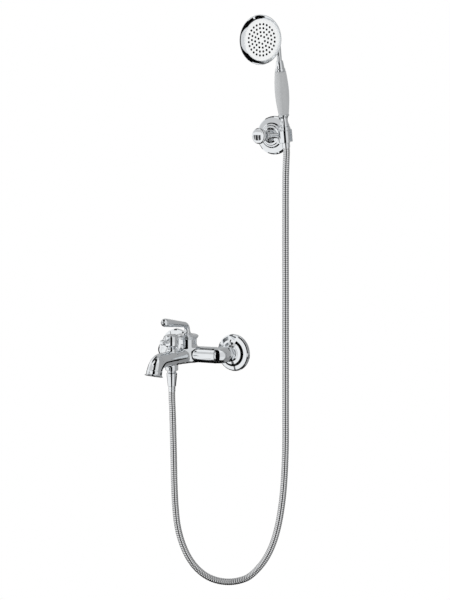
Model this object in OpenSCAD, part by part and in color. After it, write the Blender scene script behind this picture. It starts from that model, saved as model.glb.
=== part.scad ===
// Wall-mounted bath shower mixer with a lever cartridge, a spout with a diverter,
// a ribbed hose, a wall bracket and a hand shower.
// Millimetres. +Z is up, +Y points into the wall, the wall face is Y = 0 and the
// origin lies midway between the two inlet axes.

/* [Fits] */
// Radial clearance of fitted and threaded pieces
fit = 0.05; // [0.03:0.01:0.1]
// Clearance between pieces that swing past each other
play = 0.35; // [0.3:0.05:0.5]
// Gap between flat faces that slide on each other
face_gap = 0.1; // [0.05:0.05:0.3]

/* [Wall inlets] */
// Distance between the two inlet axes
inlet_spacing = 150; // [140:1:165]
// Diameter of the thread that goes into the wall
wall_thread_d = 20.9; // [20:0.1:22]
// Length of the wall thread behind the wall face
wall_thread_len = 18; // [12:1:24]
// Diameter of the waterway in the inlets
inlet_bore_d = 15; // [12:0.5:16]
// Diameter of the union thread in front of the wall
union_d = 26.4; // [25.5:0.1:27.5]
// Across flats of a union nut
nut_af = 31; // [30:0.5:36]
// Length of a union nut
nut_len = 14; // [13:0.5:20]
// Length of the lip that captures the body's tail
nut_lip = 4; // [3:0.5:6]
// Thickness of the inlet washers and of the hose washers
washer_t = 1.5; // [1:0.25:2.5]

/* [Escutcheons] */
// Outer diameter of an escutcheon
escutcheon_d = 80; // [70:1:90]
// Depth of an escutcheon's flange
escutcheon_flange = 9; // [7:0.5:12]
// Depth of an escutcheon over its hub
escutcheon_depth = 20; // [16:0.5:26]
// Diameter of the raised hub
escutcheon_hub_d = 51; // [46:1:56]
// Wall of the escutcheon
escutcheon_wall = 1.6; // [1:0.1:2.5]

/* [Body] */
// Length of an elbow behind its centre
elbow_back = 15.5; // [13:0.5:22]
// Diameter of an elbow
elbow_d = 37; // [35:0.5:42]
// Diameter of an arm
arm_d = 34; // [30:0.5:36]
// How far the tower axis stands in front of the elbows
arm_sweep = 19; // [12:1:28]
// Depth of the tower below the inlet axes
tower_foot = 18; // [17:0.5:24]
// Diameter of the tower at its base
tower_base_d = 44; // [42:0.5:48]
// Wall of the tower around the cartridge
tower_wall = 3; // [2:0.25:3.5]
// Diameter of the waterways in the arms
arm_bore_d = 8; // [6:0.5:9]

/* [Cartridge] */
// Diameter of the cartridge bore in the tower
cartridge_d = 34; // [33:0.5:35]
// Height of the cartridge seat above the inlet axes
seat_z = 5; // [5:0.5:10]
// Thickness of a ceramic disc
disc_t = 3.5; // [3:0.25:5]
// Wall and base of the cartridge housing
housing_wall = 2; // [1.5:0.25:2.5]
// Diameter of a cartridge port
port_d = 6; // [4:0.5:6.5]
// Height of the rotor's flange
rotor_flange = 5; // [4:0.5:8]
// Diameter of the pin that the lever tilts on
tilt_pin_d = 4; // [3:0.25:5]
// Width of the cartridge stem
stem_w = 8; // [7:0.25:8.5]
// Height of the cartridge nut
cartridge_nut_h = 5; // [4:0.5:8]

/* [Tower cap and lever] */
// Diameter of the cap's flange
cap_d = 48; // [46:0.5:56]
// Height of the cap above the tower
cap_h = 8; // [7:0.25:8.5]
// Diameter of the lever's ball
ball_d = 27; // [26.5:0.25:27.5]
// Diameter of the lever where it leaves the ball
lever_root_d = 14; // [13:0.25:15]
// Diameter of the lever at its bend
lever_bend_d = 11.6; // [11:0.25:12.5]
// Bend radius of the lever
lever_bend_r = 14; // [11:0.5:20]
// Rise of the lever towards its tip, in degrees
lever_rise = 10; // [0:1:20]
// Length of the lever after the bend
lever_len = 70; // [50:1:90]
// Diameter of the lever at its tip
lever_tip_d = 17.5; // [14:0.5:20]
// Tilt of the lever from shut to full flow, in degrees
lever_tilt = 20; // [15:1:20]

/* [Spout] */
// Diameter of the spout
spout_d = 32; // [31:0.5:36]
// Diameter of the waterway in the spout
spout_bore_d = 12; // [10:0.5:13]
// Height of the spout axis against the inlet axes
spout_z = -2.5; // [-4:0.5:-2]
// Distance from the tower axis to the start of the bend
spout_run = 93; // [88:1:120]
// Bend radius of the spout
spout_bend_r = 27; // [24:0.5:36]
// Turn of the bend, in degrees
spout_bend = 75; // [60:1:90]
// Straight length after the bend
spout_tail = 10; // [6:0.5:20]
// Diameter of the outlet's rim
outlet_d = 39; // [37:0.5:46]
// Diameter of the aerator
aerator_d = 28; // [24:0.5:29]
// Length of the aerator
aerator_len = 9; // [7:0.5:12]

/* [Diverter] */
// Distance from the tower axis to the diverter axis
diverter_reach = 57; // [52:1:66]
// Diameter of the rotary plug
plug_d = 18; // [17:0.25:19]
// Height of the diverter's pad above the spout axis
pad_h = 17; // [16.5:0.5:20]
// Diameter of the pad
pad_d = 26; // [24:0.5:30]
// Diameter of the bonnet
bonnet_d = 24; // [22:0.5:28]
// Height of the bonnet above the pad
bonnet_h = 4.5; // [3:0.5:8]
// Diameter of the spindle
spindle_d = 10; // [8:0.25:11]
// Diameter of the knob's barrel
knob_d = 29; // [26:0.5:34]
// Height of the knob's barrel
knob_h = 26; // [22:0.5:32]
// Length of the neck under the barrel
knob_neck = 3; // [2:0.5:6]
// Diameter of the pin that turns the knob
pin_d = 6; // [5:0.25:6.5]
// Reach of the pin from the diverter axis
pin_reach = 37; // [32:0.5:46]
// Diameter of the pin's end knob
pin_knob_d = 11.5; // [10:0.5:15]

/* [Hose outlet] */
// Diameter of the outlet boss under the spout
boss_d = 27; // [25:0.5:30]
// Depth of the boss below the spout axis
boss_h = 25.5; // [25:0.5:32]
// Diameter of the outlet nipple
nipple_d = 18.8; // [18:0.1:19]
// Visible length of the nipple
nipple_neck = 5.5; // [3:0.5:10]
// Largest diameter of the lower hose nut
hose_nut_d = 22.4; // [22:0.2:26]
// Length of the lower hose nut
hose_nut_len = 29; // [25:0.5:36]
// Length of the lower ferrule below its nut
ferrule_len = 11; // [8:0.5:20]

/* [Hose] */
// Outer diameter over the ribs
hose_d = 14; // [13:0.25:14]
// Depth of a rib
rib_depth = 0.8; // [0.4:0.1:1.2]
// Bore of the hose
hose_bore_d = 9; // [7:0.25:9.5]
// Number of ribs
rib_count = 160; // [100:10:180]

/* [Bracket] */
// Bracket axis to the right of the inlets' middle
bracket_x = 176; // [160:1:190]
// Bracket axis above the inlets
bracket_z = 468; // [440:1:500]
// Diameter of the wall plate
plate_d = 60; // [56:1:64]
// Thickness of the wall plate
plate_t = 4; // [3:0.25:5]
// Distance between the two wall screws
screw_spacing = 40; // [34:1:46]
// Diameter of a screw hole
screw_hole_d = 5.2; // [4:0.2:6]
// Diameter of the rosette
rosette_d = 80; // [74:1:90]
// Depth of the rosette's flange
rosette_flange = 10.5; // [7:0.5:12]
// Distance from the wall to the holder's hub
hub_reach = 23.5; // [23:0.5:28]
// Length of the holder's hub
hub_len = 18; // [16:0.5:24]
// Diameter of the holder's hub
hub_d = 22; // [20:0.5:26]
// Diameter of the stem that the hub turns on
stem_d = 14; // [12:0.5:15]
// Diameter of the clamp thread
clamp_thread_d = 10; // [8:0.5:11]
// Diameter of the clamp knob
clamp_knob_d = 33; // [28:0.5:38]
// Length of the clamp knob
clamp_knob_len = 23; // [20:0.5:30]

/* [Holder] */
// Length from the bracket axis to the socket axis
holder_arm_len = 46; // [42:0.5:54]
// Diameter of the arm
holder_arm_d = 10.4; // [9:0.2:12]
// Outer diameter of the socket
socket_d = 28.5; // [28:0.5:33]
// Height of the socket
socket_h = 26; // [22:0.5:26.5]
// Width of the slot for the hose
slot_w = 15.5; // [15:0.5:17.5]
// Lean of the hand shower towards the room, in degrees
lean = 9; // [4:1:14]

/* [Hand shower] */
// Largest diameter of the hose cone
cone_d = 20.6; // [20:0.2:22]
// Smallest diameter of the hose cone
cone_tip_d = 18.2; // [18:0.2:19.5]
// Length of the cone inside the socket
cone_len = 27; // [26.5:0.5:30]
// Diameter of the cone's rim
cone_rim_d = 23.4; // [22.8:0.2:25]
// Height of the cone's rim
cone_rim_h = 7; // [5:0.25:9]
// Diameter of the thread that joins the hand shower to the hose
tail_thread_d = 16; // [14:0.25:16.2]
// Length of the tail between the hose cone and the grip
tail_len = 24; // [20:0.5:34]
// Length of the grip
grip_len = 88.5; // [70:0.5:100]
// Diameter of the grip's lower end
grip_end_d = 20.6; // [20:0.2:24]
// Diameter of the grip's upper end
grip_top_d = 22.8; // [21:0.2:25]
// Swell of the grip's side at its middle
grip_swell = 3.6; // [1:0.1:5]
// Diameter of the tube through the grip
tube_d = 12; // [10:0.25:12.5]
// Length of the collar above the grip
collar_len = 16; // [14:0.5:24]
// Diameter of the neck
neck_d = 10; // [9:0.25:11]
// Straight length of the neck above the collar
neck_len = 27; // [20:0.5:40]
// Bend radius of the neck
neck_bend_r = 16; // [12:0.5:22]
// Depth of the head's shell
head_depth = 44; // [36:1:54]
// Wall of the head's shell
head_wall = 2; // [1.5:0.25:3]
// Depth of the bezel
bezel_h = 9; // [8:0.5:12]
// Diameter of the spray face
face_d = 83; // [74:1:98]
// Width of the bezel around the spray face
bezel_w = 8; // [6:0.5:11]
// Thickness of the spray face
face_t = 2; // [1.5:0.25:3]
// Diameter of a spray hole
spray_hole_d = 4.2; // [2:0.1:4.6]

/* [Hidden] */
$fn = 64;
eps = 0.01;
// A bar that meets a bend is this much thicker, and the bend runs on into it by this many degrees
seam = 0.15;
bend_overrun = 2;

chrome = "#c3c7ca";
brass = "#b8964f";
rubber = "#2b2b2c";
ceramic = "#efece4";
white_plastic = "#dfe0de";
grip_grey = "#b3b6b7";
fibre = "#7c4a3a";

// Inlets: distances from the wall face along an inlet axis
nut_start = escutcheon_depth + 1;
nut_end = nut_start + nut_len;
collar_t = 2;
collar_end = nut_end - nut_lip;
union_end = collar_end - collar_t - washer_t;
tail_d = union_d - 4.5;
body_back = nut_end + 0.5;
elbow_reach = body_back + elbow_back;
tower_reach = elbow_reach + arm_sweep;
collar_r = union_d / 2 - 0.4;
elbow_x = inlet_spacing / 2;
arm_len = norm([elbow_x, arm_sweep]);
arm_angle = atan2(arm_sweep, elbow_x);
arm_bore_stop = 4.5;
spout_bore_start = 6;

// Cartridge: heights above the inlet axes
cartridge_r = cartridge_d / 2;
tower_d = cartridge_d + 2 * tower_wall;
seal_lift = 1;
seal_sunk = 0.8;
housing_z = seat_z + seal_lift;
disc_z = housing_z + housing_wall;
moving_z = disc_z + disc_t;
carriage_z = moving_z + disc_t;
carriage_h = 5;
rotor_z = carriage_z + carriage_h + 1;
rotor_top = rotor_z + rotor_flange;
housing_top = rotor_top + 1;
cartridge_nut_top = housing_top + cartridge_nut_h;
tower_top = cartridge_nut_top + 2;
pivot_z = tower_top;
housing_r = cartridge_r - fit;
chamber_r = housing_r - housing_wall;
drive_ball_r = 2.2;
drive_z = carriage_z + drive_ball_r + 0.4;
drive_arm = pivot_z - drive_z;
disc_travel = drive_arm * sin(lever_tilt);
disc_r = chamber_r - disc_travel / 2 - play;
inlet_ports = [[-6, 3], [6, 3]];
outlet_port = [0, -8.5];
ports = concat(inlet_ports, [outlet_port]);
seal_r = port_d / 2 + 1.3;

// Lever
ball_r = ball_d / 2;
ball_wall = 1.7;
ball_hole_r = ball_r + play;
rotor_neck_r = 8.5;
rotor_neck_h = 6;
stem_depth = 6;
stem_boss_r = tilt_pin_d / 2 + 2.2;
stem_top = ball_r + 1;
bend_z = ball_r + 3;
lever_turn = 90 - lever_rise;

// Diverter: heights above the inlet axes
diverter_y = -(tower_reach + diverter_reach);
pad_z = spout_z + pad_h;
plug_r = plug_d / 2;
chamber_floor = spout_z - 12.5;
bonnet_spigot = 5;
plug_top = pad_z - bonnet_spigot - face_gap;
plug_bottom = chamber_floor + face_gap;
bonnet_top = pad_z + bonnet_h;
knob_z = bonnet_top + play;
barrel_z = knob_z + knob_neck;
knob_top = barrel_z + knob_h;
spindle_top = barrel_z + knob_h * 0.7;
pin_z = barrel_z + knob_h / 2;
pin_knob_len = 9;

// Hose outlet: heights above the inlet axes
boss_z = spout_z - boss_h;
nipple_sunk = 7;
hose_nut_top = boss_z - nipple_neck;
hose_nut_bottom = hose_nut_top - hose_nut_len;
nipple_bottom = hose_nut_top - 7.5;
nut_step = nipple_bottom - 2 * washer_t;
ferrule_r = hose_d / 2 + 0.25;
ferrule_bottom = hose_nut_bottom - ferrule_len;
nut_taper = 2.6;

// Bracket and holder: distances from the wall face
hub_end = hub_reach + hub_len;
clamp_washer_end = hub_end + face_gap + washer_t;
knob_start = clamp_washer_end + face_gap;
knob_end = knob_start + clamp_knob_len;
clamp_thread_end = knob_end - 8;
holder_y = -(hub_reach + hub_len / 2);
holder_x = bracket_x + holder_arm_len;
shoulder_d = stem_d + 5;
hub_boss_len = hub_d / 2 + 2;
socket_boss_len = socket_d / 2 + 1.5;
arm_spigot_d = holder_arm_d - 3;
arm_spigot_len = 3;
// The socket's two lips fall away towards the slot
lip_start = socket_d / 2 - 4.5;
lip_slope = 62;

// Hand shower: heights along its leaning axis above the socket's top
cone_slope = (cone_d - cone_tip_d) / 2 / cone_len;
tail_thread_len = 9;
tail_start = -tail_thread_len;
tail_top = cone_rim_h + face_gap + tail_len;
grip_top = tail_top + grip_len;
ring_h = 6;
collar_z = grip_top + ring_h;
collar_top = collar_z + collar_len;
tube_sunk = 10;
neck_sunk = 10;
tube_top = collar_top - neck_sunk - 1;
neck_top = collar_top + neck_len;
sleeve_wall = 0.6;
sleeve_r = hose_d / 2 + play + sleeve_wall;
sleeve_len = 10;
hose_top = -tail_thread_len - washer_t;
neck_turn = 90 - lean;
// Rings of the spray face: count, radius and the first hole's angle from the top
spray_rings = [[6, 8, -12], [12, 15.6, -10], [18, 23.3, 10], [24, 31, 7.5]];

// The hose's free run, from the lower ferrule round the bight to below the holder
hose_run = [
    [1.4, -127, -120], [2.2, -126.4, -160], [2.9, -126, -200], [3.8, -126, -245],
    [4.9, -126, -285], [5.9, -124, -325], [9.5, -122, -365], [18, -118, -402], [32, -113, -434],
    [48, -105, -458], [68, -96, -474.6], [89, -87, -482.6], [110, -77, -484.7], [131, -68, -481],
    [150.5, -59, -471.8], [167.8, -51, -454], [183.5, -44, -431], [195.9, -38, -403],
    [205.6, -34, -370], [213, -31, -330], [218.2, -29, -285], [220.7, -27, -235],
    [222.5, -27, -180], [222.3, -27, -110], [221.9, -27, -30], [221.4, -27, 50], [221, -27, 130],
    [220.4, -27, 210], [220, -27, 290], [219.7, -27, 350], [220, -27.2, 385], [221.3, -27.7, 415]
];

module ring(r_out, r_in, z0, z1) {
    translate([0, 0, z0]) difference() {
        cylinder(r = r_out, h = z1 - z0);
        translate([0, 0, -1]) cylinder(r = r_in, h = z1 - z0 + 2);
    }
}

module rod(r, z0, z1) {
    translate([0, 0, z0]) cylinder(r = r, h = z1 - z0);
}

// Turns +Z towards the room
module from_wall() {
    rotate([90, 0, 0]) children();
}

module at_inlet(side) {
    translate([side * elbow_x, 0, 0]) from_wall() children();
}

module at_tower() {
    translate([0, -tower_reach, 0]) children();
}

module at_pivot() {
    translate([0, -tower_reach, pivot_z]) children();
}

module at_diverter() {
    translate([0, diverter_y, 0]) children();
}

module at_bracket() {
    translate([bracket_x, 0, bracket_z]) from_wall() children();
}

// The arm of the holder runs along +X through the middle of the socket
module at_arm() {
    translate([bracket_x, holder_y, bracket_z]) rotate([0, 90, 0]) children();
}

// Z runs up the leaning axis of the hand shower, from the socket's top
module on_handset() {
    translate([holder_x, holder_y, bracket_z]) rotate([lean, 0, 0])
        translate([0, 0, socket_h / 2]) children();
}

// Z runs from the back of the head towards its spray face
module at_head() {
    on_handset() translate([0, 0, neck_top]) rotate([-lean, 0, 0])
        translate([0, -neck_bend_r * cos(lean), neck_bend_r * (1 - sin(lean))])
            from_wall() children();
}

// Z runs from the rim of the outlet back into the spout
module at_outlet() {
    translate([0, -tower_reach - spout_run, spout_z - spout_bend_r]) rotate([spout_bend - 90, 0, 0])
        translate([0, -spout_bend_r, -spout_tail]) children();
}

// A piece of bent round bar in the YZ plane that starts along +Z at the origin and bends towards -Y
module bend(r, bend_r, turn) {
    translate([0, -bend_r, 0]) rotate([90, 0, 90]) rotate([0, 0, -bend_overrun])
        rotate_extrude(angle = turn + 2 * bend_overrun) translate([bend_r, 0]) circle(r = r);
}

// Points of an arc, from angle a0 to a1
function arc(cx, cy, rx, ry, a0, a1, n) =
    [for (i = [0:n]) let (a = a0 + (a1 - a0) * i / n) [cx + rx * cos(a), cy + ry * sin(a)]];

module arm(side, r, from, to) {
    at_tower() rotate([0, 0, side > 0 ? arm_angle : 180 - arm_angle]) rotate([0, 90, 0])
        rod(r, from, to);
}

// The spout's run and bend as one bent bar
module spout_bar(r, from) {
    translate([0, -tower_reach, spout_z]) from_wall() rod(r + seam, from, spout_run);
    translate([0, -tower_reach - spout_run, spout_z]) from_wall() bend(r, spout_bend_r, spout_bend);
}

module tower_shape() {
    tower_r = tower_d / 2;
    base_r = tower_base_d / 2;
    foot_bevel = 6;
    rotate_extrude() polygon(concat(
        [[0, -tower_foot]],
        arc(base_r - foot_bevel, foot_bevel - tower_foot, foot_bevel, foot_bevel, -90, 0, 4),
        [[base_r, 14], [tower_r, 22], [tower_r, tower_top], [0, tower_top]]
    ));
}

module outlet_shape() {
    rim_r = outlet_d / 2;
    tail_r = spout_d / 2 + seam;
    rotate_extrude() polygon([
        [0, 0], [rim_r - 1.5, 0], [rim_r, 1], [rim_r, 2], [rim_r - 1.5, 3],
        [tail_r + 0.4, spout_tail - 1], [tail_r, spout_tail], [0, spout_tail]
    ]);
}

module mixer_body() color(chrome) difference() {
    union() {
        at_tower() tower_shape();
        for (side = [-1, 1]) {
            arm(side, arm_d / 2, 0, arm_len);
            translate([side * elbow_x, -elbow_reach, 0]) rotate([0, 0, side > 0 ? 0 : 180])
                sphere(d = elbow_d);
            at_inlet(side) {
                rod(elbow_d / 2 - 1.5, body_back, elbow_reach);
                rod(tail_d / 2, collar_end - collar_t, body_back + eps);
                rod(collar_r, collar_end - collar_t, collar_end);
            }
        }
        spout_bar(spout_d / 2, 0);
        at_outlet() outlet_shape();
        at_diverter() rod(pad_d / 2, spout_z, pad_z);
        at_diverter() rod(boss_d / 2, boss_z, spout_z);
    }
    for (side = [-1, 1]) {
        at_inlet(side) rod(inlet_bore_d / 2, 0, elbow_reach);
        arm(side, arm_bore_d / 2, arm_bore_stop, arm_len);
    }
    at_tower() {
        rod(cartridge_r, seat_z, tower_top + 1);
        for (p = inlet_ports) translate(p) rod(port_d / 2, 0, seat_z + 1);
        translate(outlet_port) rod(port_d / 2, spout_z, seat_z + 1);
    }
    spout_bar(spout_bore_d / 2, spout_bore_start);
    at_outlet() {
        rod(aerator_d / 2, -1, aerator_len + washer_t);
        rod(spout_bore_d / 2 + seam, 0, spout_tail);
    }
    at_diverter() {
        rod(plug_d / 2, chamber_floor, pad_z + 1);
        rod(nipple_d / 2 + fit, boss_z - 1, boss_z + nipple_sunk);
        rod(hose_bore_d / 2 + 1, boss_z, chamber_floor + 1);
    }
}

module inlet_union(side) color(chrome) at_inlet(side) difference() {
    union() {
        rod(wall_thread_d / 2, -wall_thread_len, eps);
        rod(union_d / 2, 0, union_end);
    }
    rod(inlet_bore_d / 2, -wall_thread_len - 1, union_end + 1);
}
module inlet_union_left() inlet_union(-1);
module inlet_union_right() inlet_union(1);

module inlet_washers() color(fibre) for (side = [-1, 1]) at_inlet(side)
    ring(collar_r, inlet_bore_d / 2 + 0.5, union_end, union_end + washer_t);

module union_nut(side) color(chrome) at_inlet(side) difference() {
    intersection() {
        translate([0, 0, nut_start]) cylinder(d = nut_af / cos(30), h = nut_len, $fn = 6);
        nut_r = nut_af / 2;
        corner_r = nut_r / cos(30);
        rotate_extrude() polygon([
            [0, nut_start], [nut_r, nut_start], [corner_r + 0.2, nut_start + 1.6],
            [corner_r + 0.2, nut_end - 1.6], [nut_r, nut_end], [0, nut_end]
        ]);
    }
    rod(union_d / 2 + fit, nut_start - 1, collar_end + fit);
    rod(tail_d / 2 + fit, nut_start, nut_end + 1);
}
module union_nut_left() union_nut(-1);
module union_nut_right() union_nut(1);

module escutcheon(side) color(chrome) at_inlet(side) {
    r = escutcheon_d / 2;
    hub_r = escutcheon_hub_d / 2;
    hole_r = union_d / 2 + fit;
    f = escutcheon_flange;
    w = escutcheon_wall;
    top_r = max(hub_r - 8, hole_r + w);
    rotate_extrude() polygon([
        [r, 0], [r, 3], [r - 1, 3.6], [r - 1, f - 3], [r - 2.5, f - 1.6],
        [hub_r + 1, f + 1], [hub_r, f + 1.5], [hub_r, f + 3],
        [top_r, escutcheon_depth], [hole_r, escutcheon_depth],
        [hole_r, escutcheon_depth - w], [top_r - w, escutcheon_depth - w],
        [hub_r - w, f + 3 - w / 2], [hub_r - w, f + 1 - w], [r - 3, f - 1.6 - w], [r - 3, 0]
    ]);
}
module escutcheon_left() escutcheon(-1);
module escutcheon_right() escutcheon(1);

module cartridge_seals() color(rubber) at_tower() for (p = ports) translate(p)
    ring(seal_r, port_d / 2, seat_z, housing_z + seal_sunk);

module cartridge_housing() color(white_plastic) at_tower() difference() {
    rod(housing_r, housing_z, housing_top);
    rod(chamber_r, disc_z, housing_top + 1);
    for (p = ports) translate(p) {
        rod(port_d / 2, housing_z - 1, disc_z + 1);
        rod(seal_r + fit, housing_z - 1, housing_z + seal_sunk);
    }
}

module fixed_disc() color(ceramic) at_tower() difference() {
    rod(chamber_r - fit, disc_z, moving_z - face_gap);
    for (p = ports) translate(p) rod(port_d / 2, disc_z - 1, moving_z + 1);
}

// The moving disc and its carriage rest at the back end of their travel
module at_carriage() at_tower() translate([0, disc_travel / 2, 0]) children();

module moving_disc() color(ceramic) at_carriage() difference() {
    rod(disc_r, moving_z, carriage_z);
    translate([0, -disc_r / 3, 0]) rod(disc_r / 2, moving_z - 1, moving_z + disc_t / 2);
}

module disc_carriage() color(white_plastic) at_carriage() difference() {
    rod(disc_r - 0.5, carriage_z, carriage_z + carriage_h);
    translate([0, -disc_travel / 2, 0])
        rod(drive_ball_r + play, carriage_z - 1, carriage_z + carriage_h + 1);
}

module cartridge_rotor() color(white_plastic) at_tower() difference() {
    union() {
        rod(chamber_r - fit, rotor_z, rotor_top);
        rod(rotor_neck_r, rotor_z, pivot_z + rotor_neck_h);
    }
    slot_half = stem_w / 2 + face_gap;
    translate([-slot_half, -rotor_neck_r - 1, rotor_z - 1])
        cube([2 * slot_half, 2 * rotor_neck_r + 2, pivot_z + rotor_neck_h - rotor_z + 2]);
    translate([0, 0, pivot_z]) rotate([0, 90, 0])
        rod(tilt_pin_d / 2, -rotor_neck_r - 1, rotor_neck_r + 1);
}

module tilt_pin() color(brass) at_pivot() rotate([0, 90, 0])
    rod(tilt_pin_d / 2 - fit, -rotor_neck_r, rotor_neck_r);

module cartridge_stem() color(brass) at_pivot() difference() {
    union() {
        translate([-stem_w / 2, -stem_depth / 2, 0]) cube([stem_w, stem_depth, stem_top]);
        rotate([0, 90, 0]) rod(stem_boss_r, -stem_w / 2, stem_w / 2);
        rod(drive_ball_r - 0.5, -drive_arm, 0);
        translate([0, 0, -drive_arm]) sphere(r = drive_ball_r);
    }
    rotate([0, 90, 0]) rod(tilt_pin_d / 2, -stem_w, stem_w);
}

module cartridge_nut() color(brass) at_tower()
    ring(cartridge_r - fit, ball_hole_r + 0.1, housing_top, cartridge_nut_top);

module tower_cap() color(chrome) at_pivot() difference() {
    cap_r = cap_d / 2;
    neck_r = tower_d / 2 + 1.5;
    union() {
        rod(cartridge_r - fit, cartridge_nut_top - pivot_z, 1);
        rotate_extrude() polygon([
            [0, 0], [neck_r, 0], [neck_r + 0.6, 0.8], [neck_r + 0.6, 1.8], [neck_r, 2.6],
            [cap_r - 0.8, 3], [cap_r, 4], [cap_r, 5.2], [cap_r - 1, 6.2], [cap_r - 3, 6.6],
            [cap_r - 4, cap_h], [0, cap_h]
        ]);
    }
    sphere(r = ball_hole_r);
}

// The lever's straight part runs from the end of its bend towards the tip
module on_lever() at_pivot() translate([0, -lever_bend_r, bend_z]) rotate([lever_turn, 0, 0])
    translate([0, lever_bend_r, 0]) children();

lever_tip_r = lever_tip_d / 2;
tip_spigot_r = 4;
tip_spigot_len = 6;
screw_r = 1.5;
screw_z = ball_r - 1;

module lever_handle() color(chrome) difference() {
    union() {
        at_pivot() {
            rotate_extrude() lever_root();
            translate([0, 0, bend_z]) bend(lever_bend_d / 2, lever_bend_r, lever_turn);
        }
        on_lever() cylinder(r1 = lever_bend_d / 2 + seam, r2 = lever_tip_r, h = lever_len);
    }
    at_pivot() {
        translate([-stem_w / 2 - fit, -stem_depth / 2 - fit, ball_r - 2 * ball_wall])
            cube([stem_w + 2 * fit, stem_depth + 2 * fit, stem_top + face_gap - ball_r + 2 * ball_wall]);
        translate([0, 0, screw_z]) rotate([-90, 0, 0]) rod(screw_r + fit, 0, lever_root_d);
    }
    on_lever() rod(tip_spigot_r + fit, lever_len - tip_spigot_len - face_gap, lever_len + 1);
}

// Half section of the hollow ball and of the lever's root above it
module lever_root() {
    hollow_r = ball_r - ball_wall;
    ball_low = 1;
    intersection() {
        difference() {
            circle(r = ball_r);
            circle(r = hollow_r);
        }
        translate([0, -ball_low]) square([ball_r + 1, ball_r + ball_low + 1]);
    }
    polygon([
        [0, hollow_r - 0.5], [lever_root_d / 2 - 1, hollow_r - 0.5], [lever_root_d / 2, ball_r - 1.5],
        [lever_bend_d / 2 + seam, bend_z], [0, bend_z]
    ]);
}

module lever_tip() color(chrome) on_lever() translate([0, 0, lever_len]) union() {
    rod(tip_spigot_r, -tip_spigot_len, eps);
    rotate_extrude() polygon([
        [0, 0], [lever_tip_r - 1.4, 0], [lever_tip_r - 1.4, 1.6], [lever_tip_r - 0.3, 2.2],
        [lever_tip_r - 0.3, 3], [lever_tip_r * 0.62, 7], [lever_tip_r * 0.34, 9],
        [lever_tip_r * 0.2, 9.6], [0, 9.8]
    ]);
}

module lever_screw() color(brass) at_pivot() translate([0, 0, screw_z]) rotate([-90, 0, 0])
    rod(screw_r, stem_depth / 2 + face_gap, lever_root_d / 2 - 1);

module diverter_bonnet() color(chrome) at_diverter() difference() {
    union() {
        rod(plug_r - fit, pad_z - bonnet_spigot, pad_z + eps);
        rotate_extrude() polygon([
            [0, pad_z], [bonnet_d / 2, pad_z], [bonnet_d / 2, bonnet_top - 1.5],
            [bonnet_d / 2 - 1.5, bonnet_top], [0, bonnet_top]
        ]);
    }
    rod(spindle_d / 2 + fit, pad_z - bonnet_spigot - 1, bonnet_top + 1);
}

// The cross port is open to the spout; the side port feeds the hose once the plug is turned
plug_port_r = spout_bore_d / 2 - 1.5;
seal_groove_z = chamber_floor + 1.5;
seal_groove_h = 2;
seal_groove_depth = 1.4;

module diverter_spindle() color(brass) at_diverter() difference() {
    union() {
        rod(plug_r - fit, plug_bottom, plug_top);
        rod(spindle_d / 2, plug_top - eps, spindle_top);
    }
    ring(plug_r + 1, plug_r - seal_groove_depth, seal_groove_z, seal_groove_z + seal_groove_h);
    translate([0, 0, spout_z]) from_wall() rod(plug_port_r, -plug_d, plug_d);
    translate([0, 0, spout_z]) rotate([0, 90, 0]) rod(plug_port_r, 0, plug_d);
    rod(hose_bore_d / 2, plug_bottom - 1, spout_z);
}

module diverter_seal() color(rubber) at_diverter()
    ring(plug_r - fit, plug_r - seal_groove_depth, seal_groove_z, seal_groove_z + seal_groove_h);

module diverter_knob() color(chrome) at_diverter() difference() {
    r = knob_d / 2;
    neck_r = min(r - 4, bonnet_d / 2 - 2);
    rotate_extrude() polygon([
        [0, knob_z], [neck_r, knob_z], [neck_r - 1, knob_z + 1], [neck_r - 1, barrel_z - 1],
        [r - 3, barrel_z], [r - 0.6, barrel_z + 3], [r, barrel_z + 6], [r, knob_top - 4],
        [r - 0.6, knob_top - 3.4], [r - 0.6, knob_top - 2.6], [r - 1.6, knob_top - 1.6],
        [r - 4, knob_top - 0.6], [0, knob_top]
    ]);
    rod(spindle_d / 2 + fit, knob_z - 1, spindle_top + face_gap);
    translate([0, 0, pin_z]) from_wall() rod(pin_d / 2 + fit, 0, knob_d);
}

pin_end = pin_reach - 3;
pin_neck_r = pin_d / 2 - 0.4;

module diverter_pin() color(chrome) at_diverter() translate([0, 0, pin_z]) from_wall() {
    collar_z = knob_d / 2 + face_gap;
    rod(pin_d / 2, spindle_d / 2 + face_gap, collar_z + 5);
    rotate_extrude() polygon([
        [0, collar_z], [pin_d / 2 + 1.4, collar_z], [pin_d / 2 + 1.9, collar_z + 1.2],
        [pin_d / 2 + 1.4, collar_z + 2.6], [pin_d / 2, collar_z + 4], [0, collar_z + 4]
    ]);
    rod(pin_neck_r, collar_z, pin_end);
}

module diverter_pin_knob() color(chrome) at_diverter() translate([0, 0, pin_z]) from_wall() difference() {
    r = pin_knob_d / 2;
    back = pin_reach - pin_knob_len;
    rotate_extrude() polygon([
        [0, back], [r - 2, back], [r - 0.8, back + 1.2], [r, back + 3], [r, pin_reach - 2],
        [r - 0.8, pin_reach - 0.8], [r - 2.4, pin_reach], [0, pin_reach]
    ]);
    rod(pin_neck_r + fit, back - 1, pin_end + face_gap);
}

aerator_r = aerator_d / 2 - fit;
screen_r = aerator_d / 2 - 2.5;

module aerator_housing() color(chrome) at_outlet() difference() {
    rod(aerator_r, 0.5, aerator_len);
    rod(screen_r, 2, aerator_len + 1);
    rod(screen_r - 1.5, 0, aerator_len);
}

module aerator_screen() color(white_plastic) at_outlet() difference() {
    rod(screen_r - fit, 2, aerator_len - 1);
    for (k = [1:2], i = [0:6 * k - 1])
        rotate([0, 0, 60 * i / k]) translate([screen_r * 0.36 * k, 0, 0]) rod(1.2, 0, aerator_len);
}

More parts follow.
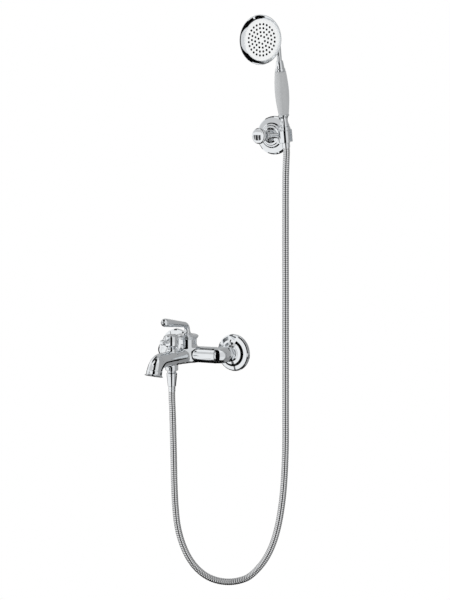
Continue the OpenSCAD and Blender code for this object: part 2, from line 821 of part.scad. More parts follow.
module aerator_washer() color(rubber) at_outlet()
    ring(aerator_r, screen_r - 2, aerator_len, aerator_len + washer_t);

module hose_nipple() color(chrome) at_diverter()
    ring(nipple_d / 2, hose_bore_d / 2 + 1, nipple_bottom, boss_z + nipple_sunk);

module hose_washer_lower() color(rubber) at_diverter()
    ring(nipple_d / 2 - 0.1, hose_bore_d / 2, nipple_bottom - washer_t, nipple_bottom);

module hose_nut_lower() color(chrome) at_diverter() difference() {
    r = hose_nut_d / 2;
    tip_r = r - nut_taper;
    rotate_extrude() polygon([
        [0, hose_nut_top], [r - 1.2, hose_nut_top], [r, hose_nut_top - 1.2],
        [r - 0.3, hose_nut_top - 5], [r - 0.6, hose_nut_top - 5.4], [r - 0.3, hose_nut_top - 5.8],
        [tip_r, hose_nut_bottom + 0.6], [tip_r - 0.5, hose_nut_bottom], [0, hose_nut_bottom]
    ]);
    rod(nipple_d / 2 + fit, nut_step, hose_nut_top + 1);
    rod(ferrule_r + fit, hose_nut_bottom - 1, nut_step + 1);
}

module hose_ferrule_lower() color(chrome) at_diverter() difference() {
    union() {
        rod(nipple_d / 2 - 0.1, nut_step, nut_step + washer_t);
        rod(ferrule_r, ferrule_bottom, nut_step + eps);
    }
    rod(hose_bore_d / 2, ferrule_bottom - 1, nut_step + washer_t + 1);
}

// A point on the leaning axis of the hand shower, in the wall's frame
function handset_point(t) = [
    holder_x,
    holder_y - (t + socket_h / 2) * sin(lean),
    bracket_z + (t + socket_h / 2) * cos(lean)
];

// It leaves the lower ferrule straight down, and its top end runs up the axis of the hand shower
hose_path = concat(
    [for (drop = [face_gap, hose_d]) [0, diverter_y, ferrule_bottom - drop]],
    hose_run,
    [handset_point(-cone_len - sleeve_len - 4), handset_point(hose_top)]
);
hose_last = len(hose_path) - 1;

function cut(p) = [for (i = [1:len(p) - 1]) norm(p[i] - p[i - 1])];
function sums(v, i = 0, s = 0, out = []) =
    i == len(v) ? concat(out, [s]) : sums(v, i + 1, s + v[i], concat(out, [s]));
hose_marks = sums(cut(hose_path));
hose_len = hose_marks[hose_last];

// Slope of the route at point i, taken along the chord of its neighbours
function slope(i) =
    i == 0 ? (hose_path[1] - hose_path[0]) / (hose_marks[1] - hose_marks[0]) :
    i >= hose_last - 1 ? (hose_path[hose_last] - hose_path[hose_last - 1])
        / (hose_marks[hose_last] - hose_marks[hose_last - 1]) :
    (hose_path[i + 1] - hose_path[i - 1]) / (hose_marks[i + 1] - hose_marks[i - 1]);

function span_of(s, i = 0) = i >= hose_last - 1 || s < hose_marks[i + 1] ? i : span_of(s, i + 1);
function route_in(i, u, h) =
    (2 * u ^ 3 - 3 * u ^ 2 + 1) * hose_path[i] + (u ^ 3 - 2 * u ^ 2 + u) * h * slope(i)
    + (3 * u ^ 2 - 2 * u ^ 3) * hose_path[i + 1] + (u ^ 3 - u ^ 2) * h * slope(i + 1);
function route(s) = let (i = span_of(s), h = hose_marks[i + 1] - hose_marks[i])
    route_in(i, (s - hose_marks[i]) / h, h);

// The bight hangs in one upright plane, so its normal steers the rings of the sweep
hose_chord = hose_run[len(hose_run) - 1] - hose_run[0];
hose_side = [-hose_chord[1], hose_chord[0], 0] / norm([hose_chord[0], hose_chord[1]]);
function unit(v) = v / norm(v);
function heading(s) = unit(route(min(s + 0.5, hose_len)) - route(max(s - 0.5, 0)));
function hose_ring(s, r) = let (
    c = route(s), t = heading(s), a = unit(hose_side - t * (hose_side * t)), b = cross(t, a)
) [for (k = [0:7]) c + r * (cos(45 * k) * a + sin(45 * k) * b)];

// Two rings to a rib, with a plain stretch of one hose diameter at each end
rib_pitch = (hose_len - 2 * hose_d) / rib_count;
outer_rings = concat(
    [[0, hose_d / 2]],
    [for (i = [0:rib_count - 1], k = [0, 1])
        [hose_d + (i + k / 2) * rib_pitch, hose_d / 2 - (k == 0 ? 0 : rib_depth)]],
    [[hose_len - hose_d, hose_d / 2], [hose_len, hose_d / 2]]
);
bore_rings = [for (i = [0:rib_count / 2]) [hose_len * i / (rib_count / 2), hose_bore_d / 2]];

// Triangles between ring i and ring i + 1 of a stack that starts at vertex n
function band(n, i, flip) = [for (k = [0:7]) let (
    a = n + 8 * i + k, b = n + 8 * i + (k + 1) % 8, c = a + 8, d = b + 8
) each flip ? [[a, c, b], [b, c, d]] : [[a, b, c], [b, d, c]]];
// Triangles of an end face between two rings of vertices
function end_face(n, m, flip) = [for (k = [0:7]) let (
    a = n + k, b = n + (k + 1) % 8, c = m + k, d = m + (k + 1) % 8
) each flip ? [[a, c, b], [b, c, d]] : [[a, b, c], [b, d, c]]];

module hose() color(chrome) {
    rings = concat(outer_rings, bore_rings);
    outer_n = len(outer_rings);
    bore_n = len(bore_rings);
    bore_at = 8 * outer_n;
    polyhedron(
        points = [for (g = rings) each hose_ring(g[0], g[1])],
        faces = concat(
            [for (i = [0:outer_n - 2]) each band(0, i, true)],
            [for (i = [0:bore_n - 2]) each band(bore_at, i, false)],
            end_face(0, bore_at, false),
            end_face(8 * (outer_n - 1), bore_at + 8 * (bore_n - 1), true)
        )
    );
}

module hose_ferrule_upper() color(chrome) on_handset()
    ring(sleeve_r, sleeve_r - sleeve_wall, -cone_len - sleeve_len, -cone_len + 7);

module hose_washer_upper() color(rubber) on_handset()
    ring(tail_thread_d / 2 - fit, hose_bore_d / 2 - 0.5, hose_top + face_gap, -tail_thread_len);

module hose_nut_upper() color(chrome) on_handset() difference() {
    rim_r = cone_rim_d / 2;
    rotate_extrude() polygon([
        [0, -cone_len], [cone_tip_d / 2 - 0.5, -cone_len], [cone_tip_d / 2, -cone_len + 0.5],
        [cone_d / 2, face_gap], [rim_r, face_gap], [rim_r, 2],
        [rim_r - 1.3, cone_rim_h - 0.5], [rim_r - 1.8, cone_rim_h], [0, cone_rim_h]
    ]);
    rod(tail_thread_d / 2 + fit, -tail_thread_len - washer_t, cone_rim_h + 1);
    rod(sleeve_r + fit, -cone_len - 1, hose_top);
}

module bracket_plate() color(chrome) at_bracket() difference() {
    rod(plate_d / 2, 0, plate_t);
    rod(clamp_thread_d / 2 + fit, -1, plate_t + 1);
    for (s = [-1, 1]) translate([0, s * screw_spacing / 2, 0]) rod(screw_hole_d / 2, -1, plate_t + 1);
}

module bracket_rosette() color(chrome) at_bracket() difference() {
    r = rosette_d / 2;
    f = rosette_flange;
    top = hub_reach - 2.5;
    step = (top - f - 1) / 3;
    rotate_extrude() polygon([
        [0, 0], [r, 0], [r, 2.5], [r - 0.8, 3.2], [r - 0.8, f - 3.5], [r - 3, f - 1.7], [r - 5, f - 0.9],
        [26.5, f + 0.9], [25.5, f + 1.3], [25.5, f + 1 + step * 0.6], [24, f + 1 + step],
        [20.5, f + 1 + step], [20, f + 1 + step * 1.6], [18.5, f + 1 + step * 2],
        [15.5, f + 1 + step * 2], [15, f + 1 + step * 2.6], [13.5, top], [0, top]
    ]);
    rod(plate_d / 2 + 2, -1, plate_t + 1);
    rod(shoulder_d / 2 + fit, 0, top + 1);
}

module bracket_stem() color(chrome) at_bracket() union() {
    rod(clamp_thread_d / 2, 0, plate_t + eps);
    rod(shoulder_d / 2, plate_t, hub_reach - face_gap);
    rod(stem_d / 2, hub_reach - face_gap - eps, hub_end + face_gap);
    rod(clamp_thread_d / 2, hub_end, clamp_thread_end);
}

module holder_hub() color(chrome) difference() {
    union() {
        at_bracket() rod(hub_d / 2, hub_reach, hub_end);
        at_arm() rod(holder_arm_d / 2 + 1.8, 0, hub_boss_len);
    }
    at_bracket() rod(stem_d / 2 + fit, hub_reach - 1, hub_end + 1);
    at_arm() rod(arm_spigot_d / 2 + fit, hub_boss_len - arm_spigot_len - face_gap, hub_boss_len + 1);
}

module holder_arm() color(chrome) at_arm() {
    from = hub_boss_len;
    to = holder_arm_len - socket_boss_len;
    rod(arm_spigot_d / 2, from - arm_spigot_len, to + arm_spigot_len);
    rod(holder_arm_d / 2, from, to);
    for (z = [from, to - 2]) rod(holder_arm_d / 2 + 1, z, z + 2);
}

module holder_socket() color(chrome) difference() {
    union() {
        on_handset() rotate_extrude() polygon([
            [0, -socket_h], [socket_d / 2 - 1, -socket_h], [socket_d / 2, 1 - socket_h],
            [socket_d / 2, -1], [socket_d / 2 - 1, 0], [0, 0]
        ]);
        at_arm()
            rod(holder_arm_d / 2 + 1.5, holder_arm_len - socket_boss_len, holder_arm_len - socket_d / 4);
    }
    on_handset() {
        bore_top = cone_d / 2 + play;
        bore_low = bore_top - cone_slope * (socket_h + 1);
        translate([0, 0, -socket_h - 1])
            cylinder(r1 = bore_low, r2 = bore_top + cone_slope, h = socket_h + 2);
        translate([0, -slot_w / 2, -socket_h - 1]) cube([socket_d, slot_w, socket_h + 2]);
        translate([lip_start, -socket_d, 0]) rotate([0, lip_slope, 0])
            cube([socket_d, 2 * socket_d, socket_d]);
    }
    at_arm() rod(arm_spigot_d / 2 + fit, 0, holder_arm_len - socket_boss_len + arm_spigot_len + face_gap);
}

module clamp_washer() color(chrome) at_bracket()
    ring(stem_d / 2 + 3, clamp_thread_d / 2 + fit, hub_end + face_gap, clamp_washer_end);

module clamp_knob() color(chrome) at_bracket() difference() {
    r = clamp_knob_d / 2;
    edge_r = 4.2;
    crown = 1.2;
    rotate_extrude() polygon(concat(
        [[0, knob_start], [8.5, knob_start], [8.5, knob_start + 3], [10, knob_start + 6],
         [r - 2, knob_end - 9.5], [r - 0.4, knob_end - 8]],
        arc(r - edge_r, knob_end - crown - edge_r, edge_r, edge_r, 0, 75, 5),
        [[r / 2, knob_end - crown / 3], [0, knob_end]]
    ));
    rod(clamp_thread_d / 2 + fit, knob_start - 1, clamp_thread_end + face_gap);
}

module handset_tail() color(chrome) on_handset() difference() {
    z0 = cone_rim_h + face_gap;
    end_r = grip_end_d / 2;
    union() {
        rod(tail_thread_d / 2, tail_start, z0 + eps);
        rotate_extrude() polygon([
            [0, z0], [end_r - 1.3, z0], [end_r - 0.5, z0 + 0.8], [end_r - 0.5, z0 + 3.4],
            [end_r - 1.5, z0 + 4.4], [end_r - 1.9, z0 + 6], [end_r - 2.7, z0 + 11],
            [end_r - 2.5, tail_top - 8], [end_r - 1, tail_top - 4], [end_r + 0.8, tail_top - 2.4],
            [end_r + 0.8, tail_top], [0, tail_top]
        ]);
    }
    rod(hose_bore_d / 2, tail_start - 1, tail_top + 1);
    rod(tube_d / 2 + fit, tail_top - tube_sunk, tail_top + 1);
}

module handset_grip() color(grip_grey) on_handset() difference() {
    end_r = grip_end_d / 2;
    widening = grip_top_d / 2 - end_r;
    rotate_extrude() polygon(concat(
        [[0, tail_top]],
        [for (i = [0:12]) let (u = i / 12)
            [end_r + widening * u + grip_swell * sin(180 * u), tail_top + grip_len * u]],
        [[0, grip_top]]
    ));
    rod(tube_d / 2 + fit, tail_top - 1, grip_top + 1);
}

module handset_tube() color(brass) on_handset()
    ring(tube_d / 2, hose_bore_d / 2, tail_top - tube_sunk, tube_top);

module handset_ring() color(chrome) on_handset() difference() {
    r = grip_top_d / 2 - 0.9;
    rotate_extrude() polygon([
        [0, grip_top], [r - 0.6, grip_top], [r, grip_top + 1], [r, collar_z - 1.4],
        [r - 0.8, collar_z], [0, collar_z]
    ]);
    rod(tube_d / 2 + fit, grip_top - 1, collar_z + 1);
}

module handset_collar() color(chrome) on_handset() difference() {
    r = grip_top_d / 2 - 2.4;
    rotate_extrude() polygon([
        [0, collar_z], [r, collar_z], [neck_d / 2 + 2, collar_top - 1], [neck_d / 2 + 1.4, collar_top],
        [0, collar_top]
    ]);
    rod(tube_d / 2 + fit, collar_z - 1, tube_top);
    rod(neck_d / 2 + fit, collar_top - neck_sunk, collar_top + 1);
    rod(hose_bore_d / 2 - 1, collar_z, collar_top);
}

neck_bore_r = neck_d / 2 - 1.5;
neck_into_head = 3;

module neck_bar(r) {
    on_handset() rod(r, collar_top - neck_sunk, neck_top);
    on_handset() translate([0, 0, neck_top]) bend(r - seam, neck_bend_r, neck_turn);
    at_head() rod(r, 0, neck_into_head);
}

module handset_neck() color(chrome) difference() {
    neck_bar(neck_d / 2);
    neck_bar(neck_bore_r);
}

head_r = face_d / 2 + bezel_w;
head_root_r = neck_d / 2 + 2.5;
shell_rim_r = face_d / 2 + 1.8;
flange_bore_r = face_d / 2 - 6;
hollow_from = 6;
hollow_to = head_depth - 4;
gasket_t = 1;
face_front = head_depth + gasket_t + face_t;

// Radius of the trumpet-shaped shell at depth v
function shell_r(v) = head_root_r + (shell_rim_r - head_root_r) * (v / head_depth) ^ 1.3;

module head_shell() color(chrome) at_head() difference() {
    rotate_extrude() polygon(concat(
        [[0, -2], [head_root_r - 1, -2], [head_root_r, -1]],
        [for (i = [0:12]) let (v = head_depth * i / 12) [shell_r(v), v]],
        [[0, head_depth]]
    ));
    skin = 1.45 * head_wall;
    rotate_extrude() polygon(concat(
        [[0, hollow_from]],
        [for (i = [0:10]) let (v = hollow_from + (hollow_to - hollow_from) * i / 10)
            [shell_r(v) - skin, v]],
        [[0, hollow_to]]
    ));
    rod(flange_bore_r, hollow_to - 0.5, head_depth + 1);
    rod(neck_d / 2 + fit, -3, neck_into_head + face_gap);
    rod(neck_bore_r, 0, hollow_from + 1);
}

module head_bezel() color(chrome) at_head() difference() {
    front = head_depth + bezel_h;
    lip_r = face_d / 2 - 1;
    edge_r = 1.2;
    rotate_extrude() polygon(concat(
        [[0, head_depth], [shell_rim_r, head_depth]],
        arc(head_r - edge_r, front - edge_r, edge_r, edge_r, -30, 135, 5),
        [[lip_r + 2.2, face_front + 0.9], [lip_r, face_front + 0.6], [0, face_front + 0.6]]
    ));
    rod(face_d / 2 + fit, head_depth - 1, face_front);
    rod(lip_r, head_depth, front + 1);
}

module face_gasket() color(rubber) at_head()
    ring(face_d / 2 - 0.2, flange_bore_r + 0.5, head_depth, head_depth + gasket_t);

module spray_face() color("#d4d6d7") at_head() difference() {
    rod(face_d / 2, face_front - face_t, face_front);
    for (g = spray_rings, i = [0:g[0] - 1])
        rotate([0, 0, -g[2] - 360 * i / g[0]]) translate([0, g[1], 0])
            rod(spray_hole_d / 2, face_front - face_t - 1, face_front + 1);
}

mixer_body();
inlet_union_left();
inlet_union_right();
inlet_washers();
union_nut_left();
union_nut_right();
escutcheon_left();
escutcheon_right();
cartridge_seals();
cartridge_housing();
fixed_disc();
moving_disc();
disc_carriage();
cartridge_rotor();
tilt_pin();
cartridge_stem();
cartridge_nut();
tower_cap();
lever_handle();
lever_tip();
lever_screw();
diverter_bonnet();
diverter_spindle();
diverter_seal();
diverter_knob();
diverter_pin();
diverter_pin_knob();
aerator_housing();
aerator_screen();
aerator_washer();
hose_nipple();
hose_washer_lower();
hose_nut_lower();
hose_ferrule_lower();
hose();
hose_ferrule_upper();
hose_washer_upper();
hose_nut_upper();
bracket_plate();
bracket_rosette();
bracket_stem();
holder_hub();
holder_arm();
holder_socket();
clamp_washer();
clamp_knob();
handset_tail();
handset_grip();
handset_tube();
handset_ring();
handset_collar();
handset_neck();
head_shell();
head_bezel();
face_gasket();
spray_face();
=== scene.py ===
import math

import bpy
import numpy as np
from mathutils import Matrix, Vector


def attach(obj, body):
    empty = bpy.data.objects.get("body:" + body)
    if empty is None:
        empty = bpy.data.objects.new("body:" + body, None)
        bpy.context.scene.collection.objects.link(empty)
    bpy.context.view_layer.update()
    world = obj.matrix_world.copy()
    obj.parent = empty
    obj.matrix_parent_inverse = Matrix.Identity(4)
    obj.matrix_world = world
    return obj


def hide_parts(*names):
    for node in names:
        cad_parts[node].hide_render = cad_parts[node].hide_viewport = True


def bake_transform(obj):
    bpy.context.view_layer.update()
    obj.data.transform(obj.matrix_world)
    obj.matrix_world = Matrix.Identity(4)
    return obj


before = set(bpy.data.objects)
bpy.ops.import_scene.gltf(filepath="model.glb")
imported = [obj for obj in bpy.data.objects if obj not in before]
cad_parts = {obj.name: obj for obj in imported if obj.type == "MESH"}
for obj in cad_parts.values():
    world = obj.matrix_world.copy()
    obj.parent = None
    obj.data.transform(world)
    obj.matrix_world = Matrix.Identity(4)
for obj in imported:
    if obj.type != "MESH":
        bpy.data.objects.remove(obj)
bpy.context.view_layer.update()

# The camera stands in the room to the right of the mixer, a little above it, and looks
# slightly down at it and at the wall's plane behind, as in the photograph.
view = math.radians(34)
dip = math.radians(7.3)
SENSOR_MM = 24
FOCAL_PX = 1645
PHOTO_HEIGHT_PX = 600
scene = bpy.context.scene
camera = bpy.data.objects.new("camera", bpy.data.cameras.new("camera"))
scene.collection.objects.link(camera)
scene.camera = camera
camera.location = (2.0184, -2.9178, 0.5631)
looks_along = Vector((-math.sin(view) * math.cos(dip), math.cos(view) * math.cos(dip),
                      -math.sin(dip)))
camera.rotation_euler = looks_along.to_track_quat("-Z", "Y").to_euler()
camera.data.sensor_fit = "VERTICAL"
camera.data.sensor_height = SENSOR_MM
camera.data.lens = SENSOR_MM * FOCAL_PX / PHOTO_HEIGHT_PX
camera.data.clip_end = 50

# The hose is a chromed brass strip wound into an interlocked spiral over a rubber liner.
# It hangs from the ferrule under the spout, turns in a free bight and rises to the hand
# shower, where its end sits in the cone that drops into the holder.
MM = 0.001
# The colour sockets of a Mix node, which share their names with its other sockets.
TONE_A, TONE_B, TONE_OUT = 6, 7, 2


def linear(code):
    """Linear colour of an sRGB hex value."""
    parts = [int(code[i:i + 2], 16) / 255 for i in (1, 3, 5)]
    return tuple(c / 12.92 if c <= 0.04045 else ((c + 0.055) / 1.055) ** 2.4 for c in parts) + (1,)


def add(tree, kind, values=None, links=None, **settings):
    """A node with its settings, its socket values and the outputs that feed it."""
    node = tree.nodes.new(kind)
    for key, value in settings.items():
        setattr(node, key, value)
    for socket, value in (values or {}).items():
        node.inputs[socket].default_value = value
    for socket, source in (links or {}).items():
        tree.links.new(source, node.inputs[socket])
    return node


def new_material(name):
    """A material with an empty tree, and the tree."""
    material = bpy.data.materials.new(name)
    material.use_nodes = True
    material.node_tree.nodes.clear()
    return material, material.node_tree


def surfaced(tree, pale, dark, share, values, links):
    """Ends a material's tree: a colour that goes from pale to dark, the shader and the output."""
    tone = add(tree, "ShaderNodeMix", {TONE_A: linear(pale), TONE_B: linear(dark)},
               {"Factor": share}, data_type="RGBA")
    surface = add(tree, "ShaderNodeBsdfPrincipled", values,
                  {"Base Color": tone.outputs[TONE_OUT], **links})
    add(tree, "ShaderNodeOutputMaterial", links={"Surface": surface.outputs[0]})


def hose_chrome():
    """Chromed spiral strip: bright crests, and grooves with painted shade, darker and a little
    duller.
    """
    material, tree = new_material("chromed_spiral_strip")
    groove = add(tree, "ShaderNodeAttribute", attribute_name="groove").outputs["Fac"]
    rough = add(tree, "ShaderNodeMapRange", {"To Min": 0.02, "To Max": 0.06}, {"Value": groove})
    # The colour darkens into the grooves: painted shade in the strip's hollows.
    surfaced(tree, "#f0f1f2", "#4a4d50", groove, {"Metallic": 1},
             {"Roughness": rough.outputs["Result"]})
    return material


# The middle of the holder's socket, half its height, and how the hand shower leans in it.
HOLDER = np.array([222, -32.5, 468])
SOCKET_HALF = 13
hose_lean = math.radians(9)
lean_up = np.array([0, -math.sin(hose_lean), math.cos(hose_lean)])


def handset_point(t):
    """A point on the leaning axis of the hand shower, t above the top of the holder's socket."""
    return HOLDER + (t + SOCKET_HALF) * lean_up


hose_route = np.array([
    (0, -127, -73.6), (0, -127, -87.5), (1.4, -127, -120), (2.2, -126.4, -160), (2.9, -126, -200),
    (3.8, -126, -245), (4.9, -126, -285), (5.9, -124, -325), (9.5, -122, -365), (18, -118, -402),
    (32, -113, -434), (48, -105, -458), (68, -96, -474.6), (89, -87, -482.6), (110, -77, -484.7),
    (131, -68, -481), (150.5, -59, -471.8), (167.8, -51, -454), (183.5, -44, -431),
    (195.9, -38, -403), (205.6, -34, -370), (213, -31, -330), (218.2, -29, -285),
    (220.7, -27, -235), (222.5, -27, -180), (222.3, -27, -110), (221.9, -27, -30), (221.4, -27, 50),
    (221, -27, 130), (220.4, -27, 210), (220, -27, 290), (219.7, -27, 350), (220, -27.2, 385),
    (221.3, -27.7, 415), handset_point(-41), handset_point(-10.5),
])


def smooth_route(points, per_span=10):
    """A curve through the points whose slope at each is the chord of its neighbours."""
    marks = np.concatenate([[0], np.cumsum(np.linalg.norm(np.diff(points, axis=0), axis=1))])
    slopes = np.empty_like(points)
    slopes[1:-1] = (points[2:] - points[:-2]) / (marks[2:] - marks[:-2])[:, None]
    slopes[0] = (points[1] - points[0]) / (marks[1] - marks[0])
    slopes[-1] = slopes[-2] = (points[-1] - points[-2]) / (marks[-1] - marks[-2])
    out = []
    for i in range(len(points) - 1):
        h = marks[i + 1] - marks[i]
        for u in np.arange(per_span) / per_span:
            out.append((2 * u ** 3 - 3 * u ** 2 + 1) * points[i]
                       + (u ** 3 - 2 * u ** 2 + u) * h * slopes[i]
                       + (3 * u ** 2 - 2 * u ** 3) * points[i + 1]
                       + (u ** 3 - u ** 2) * h * slopes[i + 1])
    return np.array(out + [points[-1]])


def baked(obj, tree, values):
    """Runs a geometry tree on an object with its named inputs and keeps a plain mesh of it."""
    modifier = obj.modifiers.new("shape", "NODES")
    modifier.node_group = tree
    for item in tree.interface.items_tree:
        if item.item_type == "SOCKET" and item.in_out == "INPUT" and item.name in values:
            modifier[item.identifier] = values[item.name]
    bpy.context.view_layer.update()
    ready = obj.evaluated_get(bpy.context.evaluated_depsgraph_get())
    mesh = bpy.data.meshes.new_from_object(ready)
    obj.modifiers.remove(modifier)
    obj.data = mesh
    mesh.name = obj.name
    return obj


def new_object(name, data):
    """An object in the scene for a mesh or a lamp."""
    obj = bpy.data.objects.new(name, data)
    scene.collection.objects.link(obj)
    return obj


def shape_tree(name, inputs):
    """A geometry tree with a geometry input, named inputs, and one geometry output."""
    tree = bpy.data.node_groups.new(name, "GeometryNodeTree")
    tree.interface.new_socket("Geometry", in_out="INPUT", socket_type="NodeSocketGeometry")
    for key, kind in inputs:
        tree.interface.new_socket(key, in_out="INPUT", socket_type="NodeSocket" + kind)
    tree.interface.new_socket("Geometry", in_out="OUTPUT", socket_type="NodeSocketGeometry")
    return tree, add(tree, "NodeGroupInput").outputs


def spiral_hose_tree():
    """A tube along a path whose wall rises and falls in one continuous spiral."""
    crest_power = 0.7  # under 1, so that the crests are broad and the grooves narrow
    tree, given = shape_tree("spiral_hose", [
        ("Outer radius", "Float"), ("Rib pitch", "Float"), ("Rib depth", "Float"),
        ("Rings per rib", "Float"), ("Points around", "Int"), ("Strip", "Material")])
    path = add(tree, "GeometryNodeMeshToCurve", links={"Mesh": given["Geometry"]})
    step = add(tree, "ShaderNodeMath", operation="DIVIDE",
               links={0: given["Rib pitch"], 1: given["Rings per rib"]})
    fine = add(tree, "GeometryNodeResampleCurve", mode="LENGTH",
               links={"Curve": path.outputs[0], "Length": step.outputs[0]})
    upright = add(tree, "GeometryNodeSetCurveNormal", mode="MINIMUM_TWIST",
                  links={"Curve": fine.outputs[0]})
    place = add(tree, "GeometryNodeSplineParameter")
    on_path = add(tree, "GeometryNodeCaptureAttribute")
    on_path.capture_items.new("FLOAT", "along")
    tree.links.new(upright.outputs[0], on_path.inputs[0])
    tree.links.new(place.outputs["Length"], on_path.inputs[1])
    ring = add(tree, "GeometryNodeCurvePrimitiveCircle",
               links={"Resolution": given["Points around"], "Radius": given["Outer radius"]})
    on_ring = add(tree, "GeometryNodeCaptureAttribute")
    on_ring.capture_items.new("FLOAT", "turn")
    tree.links.new(ring.outputs[0], on_ring.inputs[0])
    tree.links.new(place.outputs["Factor"], on_ring.inputs[1])
    tube = add(tree, "GeometryNodeCurveToMesh", {"Fill Caps": True},
               {"Curve": on_path.outputs[0], "Profile Curve": on_ring.outputs[0]})
    ribs = add(tree, "ShaderNodeMath", operation="DIVIDE",
               links={0: on_path.outputs[1], 1: given["Rib pitch"]})
    phase = add(tree, "ShaderNodeMath", operation="ADD",
                links={0: ribs.outputs[0], 1: on_ring.outputs[1]})
    part = add(tree, "ShaderNodeMath", operation="FRACT", links={0: phase.outputs[0]})
    sway = add(tree, "ShaderNodeMath", {1: math.pi}, {0: part.outputs[0]}, operation="MULTIPLY")
    crest = add(tree, "ShaderNodeMath", operation="SINE", links={0: sway.outputs[0]})
    full = add(tree, "ShaderNodeMath", {1: crest_power}, {0: crest.outputs[0]}, operation="POWER")
    hollow = add(tree, "ShaderNodeMath", {0: 1.0}, {1: full.outputs[0]}, operation="SUBTRACT")
    sink = add(tree, "ShaderNodeMath", operation="MULTIPLY",
               links={0: hollow.outputs[0], 1: given["Rib depth"]})
    inward = add(tree, "ShaderNodeMath", {1: -1.0}, {0: sink.outputs[0]}, operation="MULTIPLY")
    normal = add(tree, "GeometryNodeInputNormal")
    offset = add(tree, "ShaderNodeVectorMath", operation="SCALE",
                 links={0: normal.outputs[0], "Scale": inward.outputs[0]})
    # The depth of each groove is stored for the strip's material, which paints shade in the
    # grooves.
    noted = add(tree, "GeometryNodeStoreNamedAttribute", {"Name": "groove"},
                {"Geometry": tube.outputs[0], "Value": hollow.outputs[0]})
    ribbed = add(tree, "GeometryNodeSetPosition",
                 links={"Geometry": noted.outputs[0], "Offset": offset.outputs[0]})
    smooth = add(tree, "GeometryNodeSetShadeSmooth", links={"Geometry": ribbed.outputs[0]})
    whole = add(tree, "GeometryNodeRealizeInstances", links={"Geometry": smooth.outputs[0]})
    coated = add(tree, "GeometryNodeSetMaterial",
                 links={"Geometry": whole.outputs[0], "Material": given["Strip"]})
    add(tree, "NodeGroupOutput", links={0: coated.outputs[0]})
    return tree


hose_path = smooth_route(hose_route) * MM
hose_line = bpy.data.meshes.new("hose_line")
hose_line.from_pydata(hose_path.tolist(), [(i, i + 1) for i in range(len(hose_path) - 1)], [])
hose = baked(new_object("shower_hose", hose_line), spiral_hose_tree(), {
    "Outer radius": 7 * MM, "Rib pitch": 4.2 * MM, "Rib depth": 0.6 * MM, "Rings per rib": 8.0,
    "Points around": 24, "Strip": hose_chrome()})
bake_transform(hose)
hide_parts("hose")

# The studio is a white surround with soft light from both sides. Curved panels stand round the
# mixer, out of the camera's sight, for the chrome to show: black flags, grey fills, a window.
scene.view_settings.view_transform = "Standard"
SURROUND_LIGHT = 0.62

world = bpy.data.worlds.new("white_surround")
scene.world = world
world.use_nodes = True
sky = world.node_tree
sky.nodes.clear()
ray = add(sky, "ShaderNodeLightPath")
seen = add(sky, "ShaderNodeMath", operation="MAXIMUM",
           links={0: ray.outputs["Is Camera Ray"], 1: ray.outputs["Is Glossy Ray"]})
shown = add(sky, "ShaderNodeMath", operation="MAXIMUM",
            links={0: seen.outputs[0], 1: ray.outputs["Is Transmission Ray"]})
soft = add(sky, "ShaderNodeBackground", {"Color": (1, 1, 1, 1), "Strength": SURROUND_LIGHT})
white = add(sky, "ShaderNodeBackground", {"Color": (1, 1, 1, 1), "Strength": 1.0})
either = add(sky, "ShaderNodeMixShader",
             links={0: shown.outputs[0], 1: soft.outputs[0], 2: white.outputs[0]})
add(sky, "ShaderNodeOutputWorld", links={"Surface": either.outputs[0]})

STUDIO_MIDDLE = (0.1, -0.07, 0.15)
PANEL_REACH = 3.0
PANEL_STEP = 4


def panel(name, shade, azimuth, elevation):
    """A curved studio panel, evenly lit, that only reflections see. Azimuths run to the right from
    straight ahead of the wall, elevations up from the level, both in degrees."""
    material, tree = new_material(name)
    glow = add(tree, "ShaderNodeEmission", {"Color": (shade, shade, shade, 1), "Strength": 1.0})
    add(tree, "ShaderNodeOutputMaterial", links={"Surface": glow.outputs[0]})
    across = max(2, math.ceil(abs(azimuth[1] - azimuth[0]) / PANEL_STEP))
    upward = max(2, math.ceil(abs(elevation[1] - elevation[0]) / PANEL_STEP))
    x, y, z = STUDIO_MIDDLE
    points = [(x + PANEL_REACH * math.sin(a) * math.cos(e),
               y - PANEL_REACH * math.cos(a) * math.cos(e), z + PANEL_REACH * math.sin(e))
              for e in np.radians(np.linspace(*elevation, upward + 1))
              for a in np.radians(np.linspace(*azimuth, across + 1))]
    row = across + 1
    faces = [(j * row + i, j * row + i + 1, (j + 1) * row + i + 1, (j + 1) * row + i)
             for j in range(upward) for i in range(across)]
    mesh = bpy.data.meshes.new(name)
    mesh.from_pydata(points, [], faces)
    mesh.materials.append(material)
    obj = new_object(name, mesh)
    obj.visible_camera = False
    obj.visible_diffuse = False
    obj.visible_shadow = False


BLACK = 0.003
panel("black_flag_front", BLACK, (8, 43), (-30, 30))
panel("black_flag_high", BLACK, (5, 43), (30, 85))
panel("black_flag_low", BLACK, (5, 43), (-72, -30))
panel("soft_box_side", 0.8, (43, 88), (-18, 50))
panel("soft_box_low", 0.92, (43, 88), (-64, -18))
panel("grey_fill_side", 0.4, (88, 135), (-27, 80))
panel("grey_fill_back", 0.42, (135, 195), (-14, 85))
panel("table_edge", BLACK, (135, 195), (-27, -14))
panel("grey_table", 0.3, (88, 195), (-64, -27))
panel("black_flag_back", 0.006, (195, 262), (-72, 4))
panel("grey_ceiling_back", 0.5, (195, 242), (4, 85))
panel("dark_ceiling_left", 0.04, (-118, -58), (38, 66))
panel("grey_ceiling_left", 0.45, (-118, -80), (66, 85))
panel("black_ceiling", BLACK, (-80, 5), (66, 85))
panel("grey_window_top", 0.68, (-65, -5), (15, 40))
panel("black_floor_left", BLACK, (-145, -58), (-72, -38))
panel("black_floor_front", BLACK, (-58, 5), (-72, -64))
panel("black_floor_mid", BLACK, (-17, 5), (-64, -45))
panel("black_floor_near", BLACK, (-58, -30), (-64, -40))
panel("black_ceiling_mid", BLACK, (-17, 5), (45, 66))
panel("black_floor", BLACK, (-180, 180), (-90, -72))
panel("black_floor_right", BLACK, (43, 195), (-72, -64))
